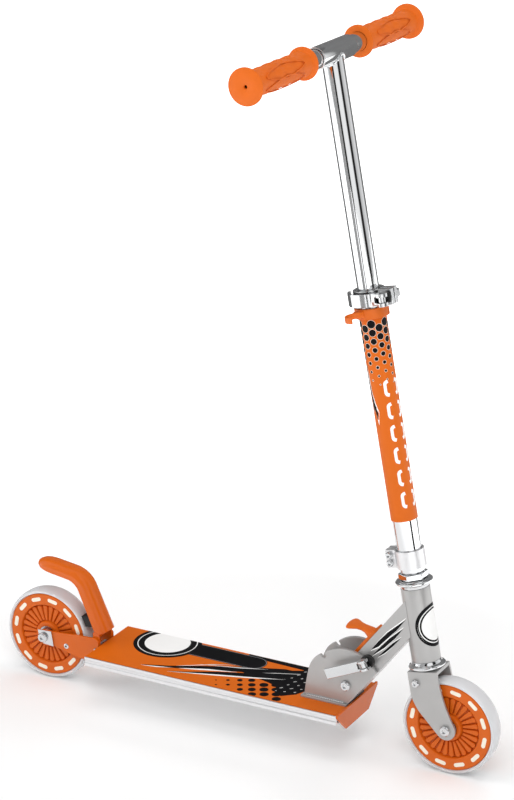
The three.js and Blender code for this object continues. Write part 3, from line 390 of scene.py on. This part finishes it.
RX, RY = -127, 31
field = [(-8, 2), (62, 40), (62, 51.5), (91, 51.5), (91, -8), (84, -24), (70, -36), (60, -34), (52, -14),
         (30, -8)]
strokes = [
    [(-124, -39), (-104, -36.5), (-50, -17), (8, 5), (62, 33), (40, 33), (-14, 12), (-60, -10), (-108, -35)],
    [(-86, -40), (-66, -36), (-24, -21.5), (16, -8), (56, 8), (60, 22), (16, 6), (-30, -13), (-70, -34)],
]
transfer("deck_print_field", [field], "ink", -0.02, 0.10)
transfer("deck_print_edge_band", [[(-20, 44), (91, 40), (91, 51), (-20, 51)]], "ink", -0.02, 0.09)
transfer("deck_print_strokes", strokes, "ink", -0.02, 0.14)
transfer("deck_print_capsule", [capsule(-100, -3, 30.5, 16.8)], "ink", -0.02, 0.16)
transfer("deck_print_lines", [
    [(-124, -40.6), (-60, -21.6), (-8, -2.8), (-44, -11.8), (-104, -37.2)],
    [(-86, -41.6), (-28, -24), (14, -10), (54, 6.4), (12, -7.6), (-30, -21.4)],
    [(-84, -22.5), (-45, 3.0), (-18, 15.2), (-40, 4.4), (-74, -17)],
    [(20, 10), (60, 27), (64, 29.5), (34, 17)],
    [(-60, -5), (-10, 9), (22, 22), (-14, 9.6)],
], "white", -0.02, 0.20)
halo = bmesh.new()
band_slab(halo, capsule(-98, -3, 30.5, 16.0), capsule(-98, -3, 30.5, 15.4), on_deck, 0.12, 0.22)
piece("deck_print_capsule_line", halo, M["grey"], "deck", slot="orange_paint")
transfer("deck_badge_disc", [circle(RX, RY, 43.5, 72)], "ink", -0.02, 0.24)
ring_loops = []
for start in range(0, 360, 6):
    a0, a1 = math.radians(start), math.radians(start + 6.4)
    ring_loops.append([(RX + r * math.cos(a), RY + r * math.sin(a))
                       for r, a in ((37.1, a0), (38.3, a0), (38.3, a1), (37.1, a1))])
transfer("deck_badge_ring", ring_loops, "white", 0.20, 0.29)
transfer("deck_badge_centre", [circle(RX, RY, 29.2, 60)], "white", 0.20, 0.30)
dots = []
for col in range(-1, 7):
    for row in range(-2, 6):
        x, y = -7.7 + 13.0 * col + 6.2 * row, -27.6 + 6.7 * col - 11.3 * row
        size = max(0.0, min(5.6, 0.9 + (x + 20) * 0.072 + (y + 50) * 0.022))
        under = y < -0.9 + (x - 20) * 0.36 - size - 8
        if under and -22 < x < 74 and size > 0.8 and -50 < y < 60 - x * 0.2:
            dots.append(circle(x, y, size, 20))
transfer("deck_print_dots", dots, "ink", -0.02, 0.12)
specks = []
for i in range(46):
    x = 58 + (i * 37 % 32)
    y = -26 + (i * 53 % 72)
    specks.append([(x - 0.9, y), (x, y + 0.7), (x + 0.9, y), (x, y - 0.7)])
transfer("deck_print_specks", specks, "white", -0.02, 0.19)


# ---------------------------------------------------------------- rear end and brake
RIVET_X, RIVET_Z = -0.247, 0.0535
for side, sign in (("right", -1), ("left", 1)):
    polished(f"rear_bracket_{side}", M["paint"], 0.5)
    polished(f"axle_plate_{side}", M["bright"], 0.3)
    polished(f"fold_plate_{side}", M["silver"], 0.5)
    low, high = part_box(f"rear_bracket_{side}")
    face = low.y if sign < 0 else high.y
    spot = Vector((RIVET_X, face, RIVET_Z))
    dome = [(0, 0.9), (1.0, 1.0), (2.2, 0.9), (3.5, 0.2), (3.6, -0.4), (0, -0.4)]
    # the black disc at the middle of each rivet head is painted shade, standing in for the shaded sunk centre of the
    # rivet
    hole_shade = [(0, 1.2), (1.3, 1.15), (1.5, 0.7), (0, 0.7)]
    turned(f"rear_rivet_{side}", dome, spot, (0, sign, 0), M["bright"], "deck", slot="steel", sides=40)
    turned(f"rear_rivet_hole_shade_{side}", hole_shade, spot, (0, sign, 0), M["black"], "deck", slot="steel", sides=24)
for node in ("rear_axle_bolt", "rear_axle_nut", "brake_pivot_pin", "fold_pivot_bolt", "fold_pivot_nut"):
    polished(node, M["bright"], 0.3)


def spring():
    low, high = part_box("brake_spring")
    c, half = (low + high) / 2, (high.y - low.y) / 2 / MM
    curve = bpy.data.curves.new("brake_spring_wire", "CURVE")
    curve.dimensions, curve.bevel_depth, curve.bevel_resolution = "3D", 0.8 * MM, 3
    curve.use_fill_caps = True
    line = curve.splines.new("POLY")
    turns, steps, r = 8, 18, (high.x - low.x) / 2 / MM - 0.9
    total = turns * steps
    line.points.add(total)
    for i in range(total + 1):
        a = 2 * math.pi * i / steps
        y = -half + 0.9 + (2 * half - 1.8) * i / total
        line.points[i].co = (c.x + r * MM * math.cos(a), c.y + y * MM, c.z + r * MM * math.sin(a), 1)
    obj = bpy.data.objects.new("brake_spring_shown", curve)
    bpy.context.scene.collection.objects.link(obj)
    curve.materials.append(M["steel"])
    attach(obj, BODY["brake_spring"])
    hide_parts("brake_spring")


spring()
polished("brake_shoe", M["black_rubber"], 0.5)


def brake():
    """The pressed channel: a straight leg, one bend, a nearly level end that closes round, and two ears."""
    low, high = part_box("brake_fender")
    pin, foot = centre("brake_pivot_pin"), Vector((deck_low.x, 0, pin_foot))
    lean, tip_lean = math.radians(114), math.radians(172)
    leg, bend, tip, wall = 59.5, 30.0, 48.5, 2.2
    point, turn, walked = foot.copy(), lean, 0.0
    path = [(point.copy(), turn)]
    moves = [(leg / 8, 0)] * 8 + [(bend * (tip_lean - lean) / 14, (tip_lean - lean) / 14)] * 14 + [(tip / 9, 0)] * 9
    for step, change in moves:
        turn += change / 2
        point = point + Vector((math.cos(turn), 0, math.sin(turn))) * step * MM
        turn += change / 2
        path.append((point.copy(), turn))
    bm = bmesh.new()
    loops, last = [], len(path) - 1
    for i, (at, turn) in enumerate(path):
        share = i / last
        end = max(0.0, (i - last + 4) / 4)
        shrink = math.sqrt(max(0.03, 1 - (end * 0.985) ** 2))
        half = (15 - 1.5 * min(1, share * 1.6)) * (0.35 + 0.65 * shrink)
        full = 16 - 2.4 * share
        depth = full * (0.3 + 0.7 * shrink)
        base = -full / 2 + (full - depth) * 0.35
        out = Vector((math.sin(turn), 0, -math.cos(turn)))
        section = []
        for k in range(25):
            a = math.pi * k / 24
            c, n = math.cos(a), math.sin(a)
            section.append((half * math.copysign(abs(c) ** 0.72, c), base + depth * n ** 0.72))
        for k in range(24, -1, -1):
            a = math.pi * k / 24
            c, n = math.cos(a), math.sin(a)
            thick = min(wall, half * 0.5, depth * 0.5)
            section.append(((half - thick) * math.copysign(abs(c) ** 0.72, c), base + (depth - thick) * n ** 0.72))
        loops.append([at + (out * h + Vector((0, 1, 0)) * y) * MM for y, h in section])
    made = rings(bm, loops)
    for loop in (made[0], made[-1]):
        for k in range(24):
            bm.faces.new((loop[k], loop[k + 1], loop[48 - k], loop[49 - k]))
    tip_inside = [made[-1][k] for k in range(25, 50)]
    bm.faces.new(tip_inside)
    side = high.y / MM
    for sign in (-1, 1):
        ear = [(-6, 0)] + [(3.7 * math.cos(a), 3.7 * math.sin(a)) for a in
                           (math.pi + math.pi * k / 8 for k in range(9))] + [(3.4, 16), (2, 20), (-2, 23), (-6, 22)]

        def on_ear(u, v, h):
            return Vector((pin.x + u * MM, sign * (side - 2.5 + h) * MM, pin.z + v * MM))
        outline_slab(bm, ear, on_ear, 0, 2.5, 0)
    bar = [(-5, 17), (2.6, 17), (2.6, 22), (-5, 22)]
    outline_slab(bm, bar, lambda u, v, h: Vector((pin.x + u * MM, h * MM, pin.z + v * MM)), -side + 0.5, side - 0.5, 0)
    return piece("brake_fender_shown", bm, M["paint"], BODY["brake_fender"], ("brake_fender",), angle=42)


pin_foot = centre("brake_pivot_pin").z + 0.0215
brake()

# ---------------------------------------------------------------- fold and neck
for node, material in (("neck_tube", "silver"), ("lock_cup", "black"), ("lock_nut", "bright"),
                       ("lock_skewer", "bright"), ("lock_lever", "bright")):
    polished(node, M[material], 0.6)


def release_pull():
    """The sliding shoe on the neck with its curved finger pull, and the tongue that reaches the lock pin."""
    pivot, along = Vector(JOINTS["fold"]["pos_m"]), Vector(JOINTS["lock_release"]["axis"]).normalized()
    over = Vector((-along.z, 0, along.x))
    pin = (centre("lock_nut") - pivot).dot(along) / MM

    def in_neck(u, v, y):
        return Vector((pivot.x, 0, pivot.z)) + along * u * MM + over * v * MM + Vector((0, y * MM, 0))
    top = 17.2  # the neck's upper face and a running gap, from its middle line
    bm = bmesh.new()
    outline_slab(bm, round_box(52.5, 0, 51, 24, 3), lambda u, v, h: in_neck(u, h, v), top, top + 4, 0)
    outline_slab(bm, round_box(pin, 0, 10, 8, 1), lambda u, v, h: in_neck(u, h, v), -6, top + 1, 0)
    # along the neck, height over its face, half width, thickness
    stations = [(67, 2, 10.5, 8), (66.5, 6, 9.5, 7), (65.5, 11, 7.5, 5.4), (63.5, 16, 6.8, 4.6),
                (61, 21, 8.2, 4.4), (58.5, 25.5, 11.5, 4.4), (56.5, 29, 13.6, 4.2), (54.8, 31.5, 13.8, 3.6),
                (54.0, 32.6, 12.6, 2.0)]
    loops = []
    for i, (u, v, half, thick) in enumerate(stations):
        before, after = stations[max(i - 1, 0)], stations[min(i + 1, len(stations) - 1)]
        d = Vector((after[0] - before[0], after[1] - before[1])).normalized()
        loop = []
        for k in range(28):
            a = 2 * math.pi * k / 28
            y = half * math.copysign(abs(math.cos(a)) ** 0.45, math.cos(a))
            t = thick / 2 * math.copysign(abs(math.sin(a)) ** 0.6, math.sin(a))
            bend = 0.011 * y * y * (i / (len(stations) - 1))
            loop.append(in_neck(u + d.y * t, top + v - d.x * t - bend, y))
        loops.append(loop)
    made = rings(bm, loops)
    bm.faces.new(made[0])
    bm.faces.new(made[-1])
    return piece("release_pull_shown", bm, M["plastic"], BODY["release_pull"], ("release_pull",), bevel=0.8)


release_pull()

foot_low, foot_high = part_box("fold_base")
for side, sign in (("right", -1), ("left", 1)):
    low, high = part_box(f"fold_plate_{side}")
    y = (low.y if sign < 0 else high.y) + sign * 0.6 * MM
    start, end = max(low.x, foot_low.x) + 4 * MM, foot_high.x - 4 * MM
    bead, loops, steps = bmesh.new(), [], 120
    for i in range(steps + 1):
        r = (1.35 + 0.35 * math.sin(i * math.pi / 3)) * MM * (0.4 if i in (0, steps) else 1)
        x = start + (end - start) * i / steps
        loops.append([Vector((x, y + r * math.cos(a), foot_high.z + 0.8 * MM + r * math.sin(a)))
                      for a in (2 * math.pi * k / 12 for k in range(12))])
    made = rings(bead, loops)
    bead.faces.new(made[0])
    bead.faces.new(made[-1])
    piece(f"fold_weld_{side}", bead, M["bright"], "deck", slot="silver_paint")

# ---------------------------------------------------------------- steering column
K = Vector(JOINTS["steering"]["axis"]).normalized()
FOOT = Vector(JOINTS["steering"]["pos_m"])
N = Vector((K.z, 0, -K.x))


def station(node):
    """The lowest and highest stations of a straight node along the steering axis, in millimetres."""
    s = [(v.co - FOOT).dot(K) / MM for v in frame["nodes"][node].data.vertices]
    return min(s), max(s)


def reach(node):
    """The largest distance of a node's points from the steering axis, in millimetres."""
    far = 0
    for v in frame["nodes"][node].data.vertices:
        d = v.co - FOOT
        far = max(far, (d - K * d.dot(K)).length / MM)
    return far


def column_piece(node, profile, material, soft=0.4):
    return turned(node + "_shown", profile, FOOT, K, M[material], BODY[node], (node,), soft=soft)


def tube(node, wall, material):
    s0, s1 = station(node)
    r = reach(node)
    return column_piece(node, [(r - wall, s0), (r, s0), (r, s1), (r - wall, s1)], material)


tube("head_tube", 3.3, "silver")
tube("lower_tube", 1.9, "chrome")
tube("column_wrap", 0.55, "sheet")
tube("fork_steerer", 2.0, "steel")
for node, up in (("lower_headset_cup", False), ("upper_headset_cup", True)):
    s0, s1 = station(node)
    r = reach(node)
    rows = [(14, 0), (r - 5.2, 0), (r - 4.6, 1.2), (r - 4.0, 3.4), (r - 1.4, 4.8), (r - 0.1, 6.0),
            (r - 0.1, 7.4), (r - 1.2, 8.4), (r - 4.0, 8.9), (r - 5.0, s1 - s0), (14, s1 - s0)]
    prof = [(a, s0 + b) if up else (a, s1 - b) for a, b in rows]
    column_piece(node, prof, "chrome", soft=0.3)
polished("headset_locknut", M["chrome"], 0.7)
polished("clamp_collar", M["satin"], 0.5)
for node in ("clamp_bolt_lower", "clamp_bolt_upper", "fork_crown_bolt", "fork_crown_nut", "front_axle_bolt",
             "front_axle_nut"):
    polished(node, M["bright"], 0.3)
polished("fork_legs", M["silver"], 0.7)
polished("grip_clip", M["plastic"], 0.8)
for node, material in (("height_collar", "bright"), ("height_skewer", "bright"), ("height_washer", "black"),
                       ("height_nut", "bright"), ("height_lever", "bright")):
    polished(node, M[material], 0.45)

for end, body in (("rear_axle", "deck"), ("front_axle", "fork"), ("fork_crown", "fork"), ("fold_pivot", "deck")):
    node = end + "_bolt"
    low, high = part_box(node)
    small = end == "fork_crown"
    r = (high.z - low.z) / 2 / MM - 0.1
    button_head(end + "_head_right", node, -1, r, 2.4 if small else 3.2, 1.7 if small else 2.6, body)


# ---------------------------------------------------------------- prints on the neck and the column
def on_column(radius):
    def place(u, s, h):
        a = u / radius
        out = N * math.cos(a) + Vector((0, 1, 0)) * math.sin(a)
        return FOOT + K * s * MM + out * (radius + h) * MM
    return place


def column_print(name, loops, radius, material, low, high, body, rows=1, bands=()):
    bm = bmesh.new()
    place = on_column(radius)
    for loop in loops:
        outline_slab(bm, loop, place, low, high, rows)
    for outer, inner in bands:
        band_slab(bm, outer, inner, place, low, high)
    return piece(name, bm, M[material], body, slot="orange_paint")


HEAD_R = reach("head_tube")
h0, h1 = station("head_tube")
badge = (h0 + h1) / 2 - 2
column_print("head_badge_disc", [circle(0, badge, 24.0, 64)], HEAD_R, "white", 0.0, 0.10, "neck", 8)
badge_rings = [[circle(0, badge, r, 72) for r in pair] for pair in ((26.3, 22.3), (21.0, 18.9))]
column_print("head_badge_rings", [], HEAD_R, "ink", 0.0, 0.20, "neck", bands=badge_rings)
WRAP_R = reach("column_wrap")
w0, w1 = station("column_wrap")
spots, halos = [], []
for row in range(9):
    for col in range(-5, 2):
        s = w1 - 6 - row * 10.2 - (col % 2) * 5.1
        u = col * 8.8 - 3
        size = 5.1 - (w1 - s) * 0.058
        if size > 0.6 and -46 < u < 8:
            spots.append(circle(u, s, size, 24))
            halos.append(circle(u, s, size + 0.35, 24))
column_print("column_print_halos", halos, WRAP_R, "slot", 0.0, 0.06, "fork")
column_print("column_print_dots", spots, WRAP_R, "ink", 0.0, 0.12, "fork")
spear = [(-43, w1 - 34), (-38, w1 - 60), (-29.5, w1 - 112), (-31, w1 - 120), (-36, w1 - 108), (-43, w1 - 74)]
spear_edge = [(-44, w1 - 24), (-36, w1 - 60), (-27.5, w1 - 111), (-30.4, w1 - 126), (-37, w1 - 112),
              (-45, w1 - 74)]
column_print("column_print_spear_edge", [spear_edge], WRAP_R, "white", 0.0, 0.07, "fork", 3)
column_print("column_print_spear", [spear], WRAP_R, "ink", 0.0, 0.14, "fork", 3)
frames = []
for i in range(6):
    s = w0 + 26 + i * 27
    frames.append((round_box(-7, s, 21, 20, 5), round_box(-7, s, 14, 12.5, 2.5)))
column_print("column_print_frames", [], WRAP_R, "white", 0.0, 0.10, "fork", bands=frames)

PIVOT = Vector(JOINTS["fold"]["pos_m"])
ALONG = Vector(JOINTS["lock_release"]["axis"]).normalized()
ACROSS = Vector((-ALONG.z, 0, ALONG.x))
LEVEL = Vector((math.cos(math.radians(12)), math.sin(math.radians(12))))  # the marks lie flatter than the neck
nlow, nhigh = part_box("neck_tube")
streaks = [
    [(58, 1), (74, 5), (92, 7.8), (124, 9), (104, 4.0), (84, 1.5), (70, -0.5)],
    [(54, -5.5), (72, -2), (90, 0.8), (114, 1.8), (96, -3), (76, -5.5)],
    [(60, -10.5), (74, -8), (90, -6.0), (104, -6), (88, -9.4), (72, -11)],
]
for side, sign, face in (("right", -1, nlow.y), ("left", 1, nhigh.y)):
    def on_neck(u, v, h):
        u, v = 88 + (u - 88) * LEVEL.x + v * LEVEL.y, v * LEVEL.x - (u - 88) * LEVEL.y
        return Vector((0, face, 0)) + Vector((PIVOT.x, 0, PIVOT.z)) + ALONG * u * MM + ACROSS * v * MM \
            + Vector((0, sign * h * MM, 0))
    for tag, grow, material, high in (("edge", 1.13, "white", 0.06), ("mark", 1.0, "ink", 0.13)):
        bm = bmesh.new()
        for loop in streaks:
            cu, cv = sum(p[0] for p in loop) / len(loop), sum(p[1] for p in loop) / len(loop)
            longer, wider = 1 + (grow - 1) * 0.35, 1 + (grow - 1) * 2.4
            grown = [(cu + (u - cu) * longer, cv + (v - cv) * wider) for u, v in loop]
            outline_slab(bm, grown, on_neck, -0.02, high, 0)
        piece(f"neck_print_{tag}_{side}", bm, M[material], "neck", slot="silver_paint")

# ---------------------------------------------------------------- handlebar
C = centre("handle_tube_right")
BAR_Z, BAR_X = C.z, C.x
s0, s1 = station("upper_tube")
TUBE_R = 12.7
bar_low, bar_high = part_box("handle_tube_right")
BAR_R = (bar_high.z - bar_low.z) / 2 / MM
handle = (Vector((BAR_X, 0, BAR_Z)) - FOOT).dot(K) / MM
low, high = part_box("upper_tube")
half_tee = (high.y - low.y) / 2 / MM
TEE_R = BAR_R + 1.9
upper = bmesh.new()
lathe(upper, rounded([(TUBE_R - 1.5, s0), (TUBE_R, s0), (TUBE_R, handle - 6), (TUBE_R - 1.5, handle - 6)], 0.3),
      FOOT, K, 72)
lathe(upper, rounded([(BAR_R + 0.35, -half_tee), (TEE_R, -half_tee), (TEE_R, half_tee), (BAR_R + 0.35, half_tee)], 0.4),
      (BAR_X, 0, BAR_Z), (0, 1, 0), 72)
piece("upper_tube_shown", upper, M["chrome"], "stem", ("upper_tube",))
bead = bmesh.new()
origin = Vector((BAR_X, 0, BAR_Z))
loops = []
for i in range(120):
    a = 2 * math.pi * i / 120
    x, y = TUBE_R * math.cos(a), TUBE_R * math.sin(a)
    drop = math.sqrt(max(TEE_R ** 2 - x * x, 4))
    ripple = 0.35 * math.sin(a * 30)
    point = origin + (N * x + Vector((0, 1, 0)) * y - K * drop) * MM
    out = (N * math.cos(a) + Vector((0, 1, 0)) * math.sin(a))
    loops.append([point + (out * math.cos(b) - K * math.sin(b)) * (1.7 + ripple) * MM
                  for b in (2 * math.pi * j / 10 for j in range(10))])
rings(bead, loops, closed=True)
piece("tee_weld_bead", bead, M["bright"], "stem", slot="chrome")
for side, sign in (("right", -1), ("left", 1)):
    body = side + "_handle"
    node = "handle_tube_" + side
    low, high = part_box(node)
    c, half = centre(node), (high.y - low.y) / 2 / MM
    bar = [(BAR_R - 1.5, -half), (BAR_R, -half), (BAR_R, half), (BAR_R - 1.5, half)]
    turned(node + "_shown", bar, c, (0, 1, 0), M["chrome"], body, (node,), soft=0.3)
    node = "grip_" + side
    low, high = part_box(node)
    c = centre(node)
    length = (high.y - low.y) / MM
    flange = (high.z - low.z) / 2 / MM
    start = Vector((c.x, (high.y if sign < 0 else low.y), c.z))
    r_in, body_r = BAR_R + 0.3, flange - 6.0
    prof = [(r_in, 0.2), (flange - 3.2, 0.1), (flange - 2.1, 0.8), (flange - 2.05, 2.4), (flange - 3.0, 3.4),
            (body_r + 1.0, 4.0), (body_r, 5.6)]
    for i in range(61):
        t = i / 60
        wave = 0.32 * math.sin(t * math.pi * 11) * (1 - 0.4 * math.cos(2 * math.pi * t))
        prof.append((body_r - 0.35 + wave + 0.3 * math.sin(t * math.pi), 7 + (length - 14.5) * t))
    prof += [(body_r, length - 6), (body_r + 1.0, length - 4.6), (flange - 1.2, length - 3.9),
             (flange - 0.1, length - 2.9), (flange - 0.05, length - 1.2), (flange - 0.9, length - 0.2),
             (3.4, length - 0.05), (2.2, length - 0.9), (2.0, length - 3.4), (r_in, length - 3.6)]
    bm = bmesh.new()
    lathe(bm, prof, start, (0, sign, 0), 72)
    piece(node + "_shown", bm, M["grip"], body, (node,), angle=50)
    leaf = bmesh.new()
    for turn in (-62, 118):
        for grow, cut_in in ((1.0, 0.86),):
            def on_grip(u, v, h):
                a = math.radians(turn) + v / (body_r + 0.6)
                out = Vector((math.sin(a), 0, math.cos(a))) if turn > 0 else Vector((math.sin(-a), 0, math.cos(a)))
                return start + Vector((0, sign * u * MM, 0)) + out * (body_r + 0.35 + h) * MM
            outer, inner = [], []
            for i in range(48):
                a = 2 * math.pi * i / 48
                u = length / 2 + 44 * math.cos(a)
                v = 9.5 * math.sin(a) * (1 - 0.35 * abs(math.cos(a)))
                outer.append((u, v))
                inner.append((length / 2 + (u - length / 2) * 0.95, v * cut_in))
            band_slab(leaf, outer, inner, on_grip, 0.0, 0.9)
    piece(node + "_contour", leaf, M["grip"], body, slot="orange_rubber")

# ---------------------------------------------------------------- what is left keeps its CAD shape
PLAIN = {"steel": "steel", "chrome": "chrome", "aluminium": "satin", "silver_paint": "silver",
         "orange_paint": "paint", "orange_plastic": "plastic", "orange_rubber": "grip",
         "black_plastic": "black", "black_rubber": "black_rubber", "clear_tyre": "tyre"}
for node, obj in frame["nodes"].items():
    if not obj.hide_render:
        obj.data.materials.clear()
        obj.data.materials.append(M[PLAIN[SLOT[node]]])

# ---------------------------------------------------------------- stage, light and camera
floor_mesh = bmesh.new()
bmesh.ops.create_grid(floor_mesh, x_segments=2, y_segments=2, size=6)
floor_data = bpy.data.meshes.new("floor")
floor_mesh.to_mesh(floor_data)
floor_mesh.free()
floor = bpy.data.objects.new("floor", floor_data)
bpy.context.scene.collection.objects.link(floor)
pale = shader("pale_floor", (0.96, 0.96, 0.96), 0.8, tone=0.005, bump=0.0, scale=4, Specular_IOR_Level=0.1)
ft = pale.node_tree
where = ft.nodes.new("ShaderNodeTexCoord")
length = ft.nodes.new("ShaderNodeVectorMath")
length.operation = "LENGTH"
ft.links.new(where.outputs["Object"], length.inputs[0])
fade = ft.nodes.new("ShaderNodeMapRange")
fade.inputs["From Min"].default_value, fade.inputs["From Max"].default_value = 0.45, 1.3
fade.inputs["To Min"].default_value = 0.04
ft.links.new(length.outputs["Value"], fade.inputs["Value"])
ft.links.new(fade.outputs["Result"], ft.nodes["Principled BSDF"].inputs["Emission Strength"])
ft.nodes["Principled BSDF"].inputs["Emission Color"].default_value = (1, 1, 1, 1)
floor.data.materials.append(pale)
floor.location.z = -0.0002


def card(name, start, end, tone):
    """A curved vertical card round the column that only reflections see."""
    bm = bmesh.new()
    rows = [[Vector((0.18 + 0.85 * math.cos(a), 0.85 * math.sin(a), z)) for a in
             (math.radians(start + (end - start) * i / 16) for i in range(17))] for z in (0.005, 1.5)]
    low, high = [[bm.verts.new(p) for p in row] for row in rows]
    for i in range(16):
        bm.faces.new((low[i], low[i + 1], high[i + 1], high[i]))
    mesh = bpy.data.meshes.new(name)
    bm.to_mesh(mesh)
    bm.free()
    obj = bpy.data.objects.new(name, mesh)
    bpy.context.scene.collection.objects.link(obj)
    material = shader(name, (tone,) * 3, 0.9, tone=0.1, bump=0.0, scale=3, Specular_IOR_Level=0.0)
    mesh.materials.append(material)
    obj.visible_camera = obj.visible_diffuse = obj.visible_shadow = obj.visible_transmission = False


card("card_line", -81, -73, 0.01)
card("card_band", -19, -4, 0.015)
card("card_edges", 60, 182, 0.16)
card("card_grey", -116, -88, 0.4)


def softbox(name, at, aim, size, power):
    """A rectangular light that reflections don't see."""
    light = bpy.data.lights.new(name, "AREA")
    light.shape, light.size, light.size_y, light.energy = "RECTANGLE", size[0], size[1], power
    obj = bpy.data.objects.new(name, light)
    obj.location = at
    obj.rotation_euler = (Vector(aim) - Vector(at)).to_track_quat("-Z", "Y").to_euler()
    obj.visible_glossy = False
    bpy.context.scene.collection.objects.link(obj)


softbox("key", (0.9, -1.9, 2.3), (0, 0, 0.4), (1.2, 1.2), 22)
softbox("fill", (-2.4, -0.9, 1.5), (0, 0, 0.4), (1.4, 1.8), 11)
softbox("back", (-0.4, 2.4, 2.0), (0, 0, 0.4), (2.0, 1.0), 17)
softbox("top", (0.2, 0.1, 3.0), (0, 0, 0), (2.2, 2.2), 26)

world = bpy.data.worlds.new("studio")
bpy.context.scene.world = world
world.use_nodes = True
wt = world.node_tree
back = wt.nodes["Background"]
coords = wt.nodes.new("ShaderNodeTexCoord")
split = wt.nodes.new("ShaderNodeSeparateXYZ")
wt.links.new(coords.outputs["Generated"], split.inputs["Vector"])
turn = wt.nodes.new("ShaderNodeMath")
turn.operation = "ARCTAN2"
wt.links.new(split.outputs["Y"], turn.inputs[0])
wt.links.new(split.outputs["X"], turn.inputs[1])
span = wt.nodes.new("ShaderNodeMapRange")
span.inputs["From Min"].default_value, span.inputs["From Max"].default_value = -math.pi, math.pi
wt.links.new(turn.outputs["Value"], span.inputs["Value"])
ramp = wt.nodes.new("ShaderNodeValToRGB")
stops = [(0.0, 0.22), (0.02, 0.80), (0.15, 0.92), (0.18, 0.50), (0.262, 0.42), (0.272, 0.03), (0.305, 0.03), (0.32, 1.0),
         (0.425, 1.0), (0.445, 0.04), (0.50, 0.05), (0.52, 0.60), (0.64, 0.90), (0.665, 0.16), (0.98, 0.12), (1.0, 0.22)]
elements = ramp.color_ramp.elements
while len(elements) > 1:
    elements.remove(elements[-1])
elements[0].position, elements[0].color = stops[0][0], (stops[0][1],) * 3 + (1,)
for at, value in stops[1:]:
    elements.new(at).color = (value,) * 3 + (1,)
wt.links.new(span.outputs["Result"], ramp.inputs["Fac"])
seen = wt.nodes.new("ShaderNodeLightPath")
choose = wt.nodes.new("ShaderNodeMix")
choose.data_type = "RGBA"
choose.inputs["B"].default_value = (1, 1, 1, 1)
wt.links.new(seen.outputs["Is Camera Ray"], choose.inputs["Factor"])
wt.links.new(ramp.outputs["Color"], choose.inputs["A"])
wt.links.new(choose.outputs["Result"], back.inputs["Color"])
power = wt.nodes.new("ShaderNodeMapRange")
power.inputs["To Min"].default_value, power.inputs["To Max"].default_value = 1.0, 1.0
wt.links.new(seen.outputs["Is Camera Ray"], power.inputs["Value"])
wt.links.new(power.outputs["Result"], back.inputs["Strength"])

AZIMUTH, ELEVATION, DISTANCE = math.radians(28.34), math.radians(19.46), 3.090
target = Vector((0.0192, -0.0025, 0.4244))
away = Vector((math.sin(AZIMUTH) * math.cos(ELEVATION), -math.cos(AZIMUTH) * math.cos(ELEVATION),
               math.sin(ELEVATION)))
camera_data = bpy.data.cameras.new("camera")
camera_data.lens, camera_data.sensor_width = 117.66, 36
camera = bpy.data.objects.new("camera", camera_data)
camera.location = target + away * DISTANCE
camera.rotation_euler = (-away).to_track_quat("-Z", "Y").to_euler()
bpy.context.scene.collection.objects.link(camera)
bpy.context.scene.camera = camera
bpy.context.scene.view_settings.view_transform = "Standard"

bpy.context.view_layer.update()
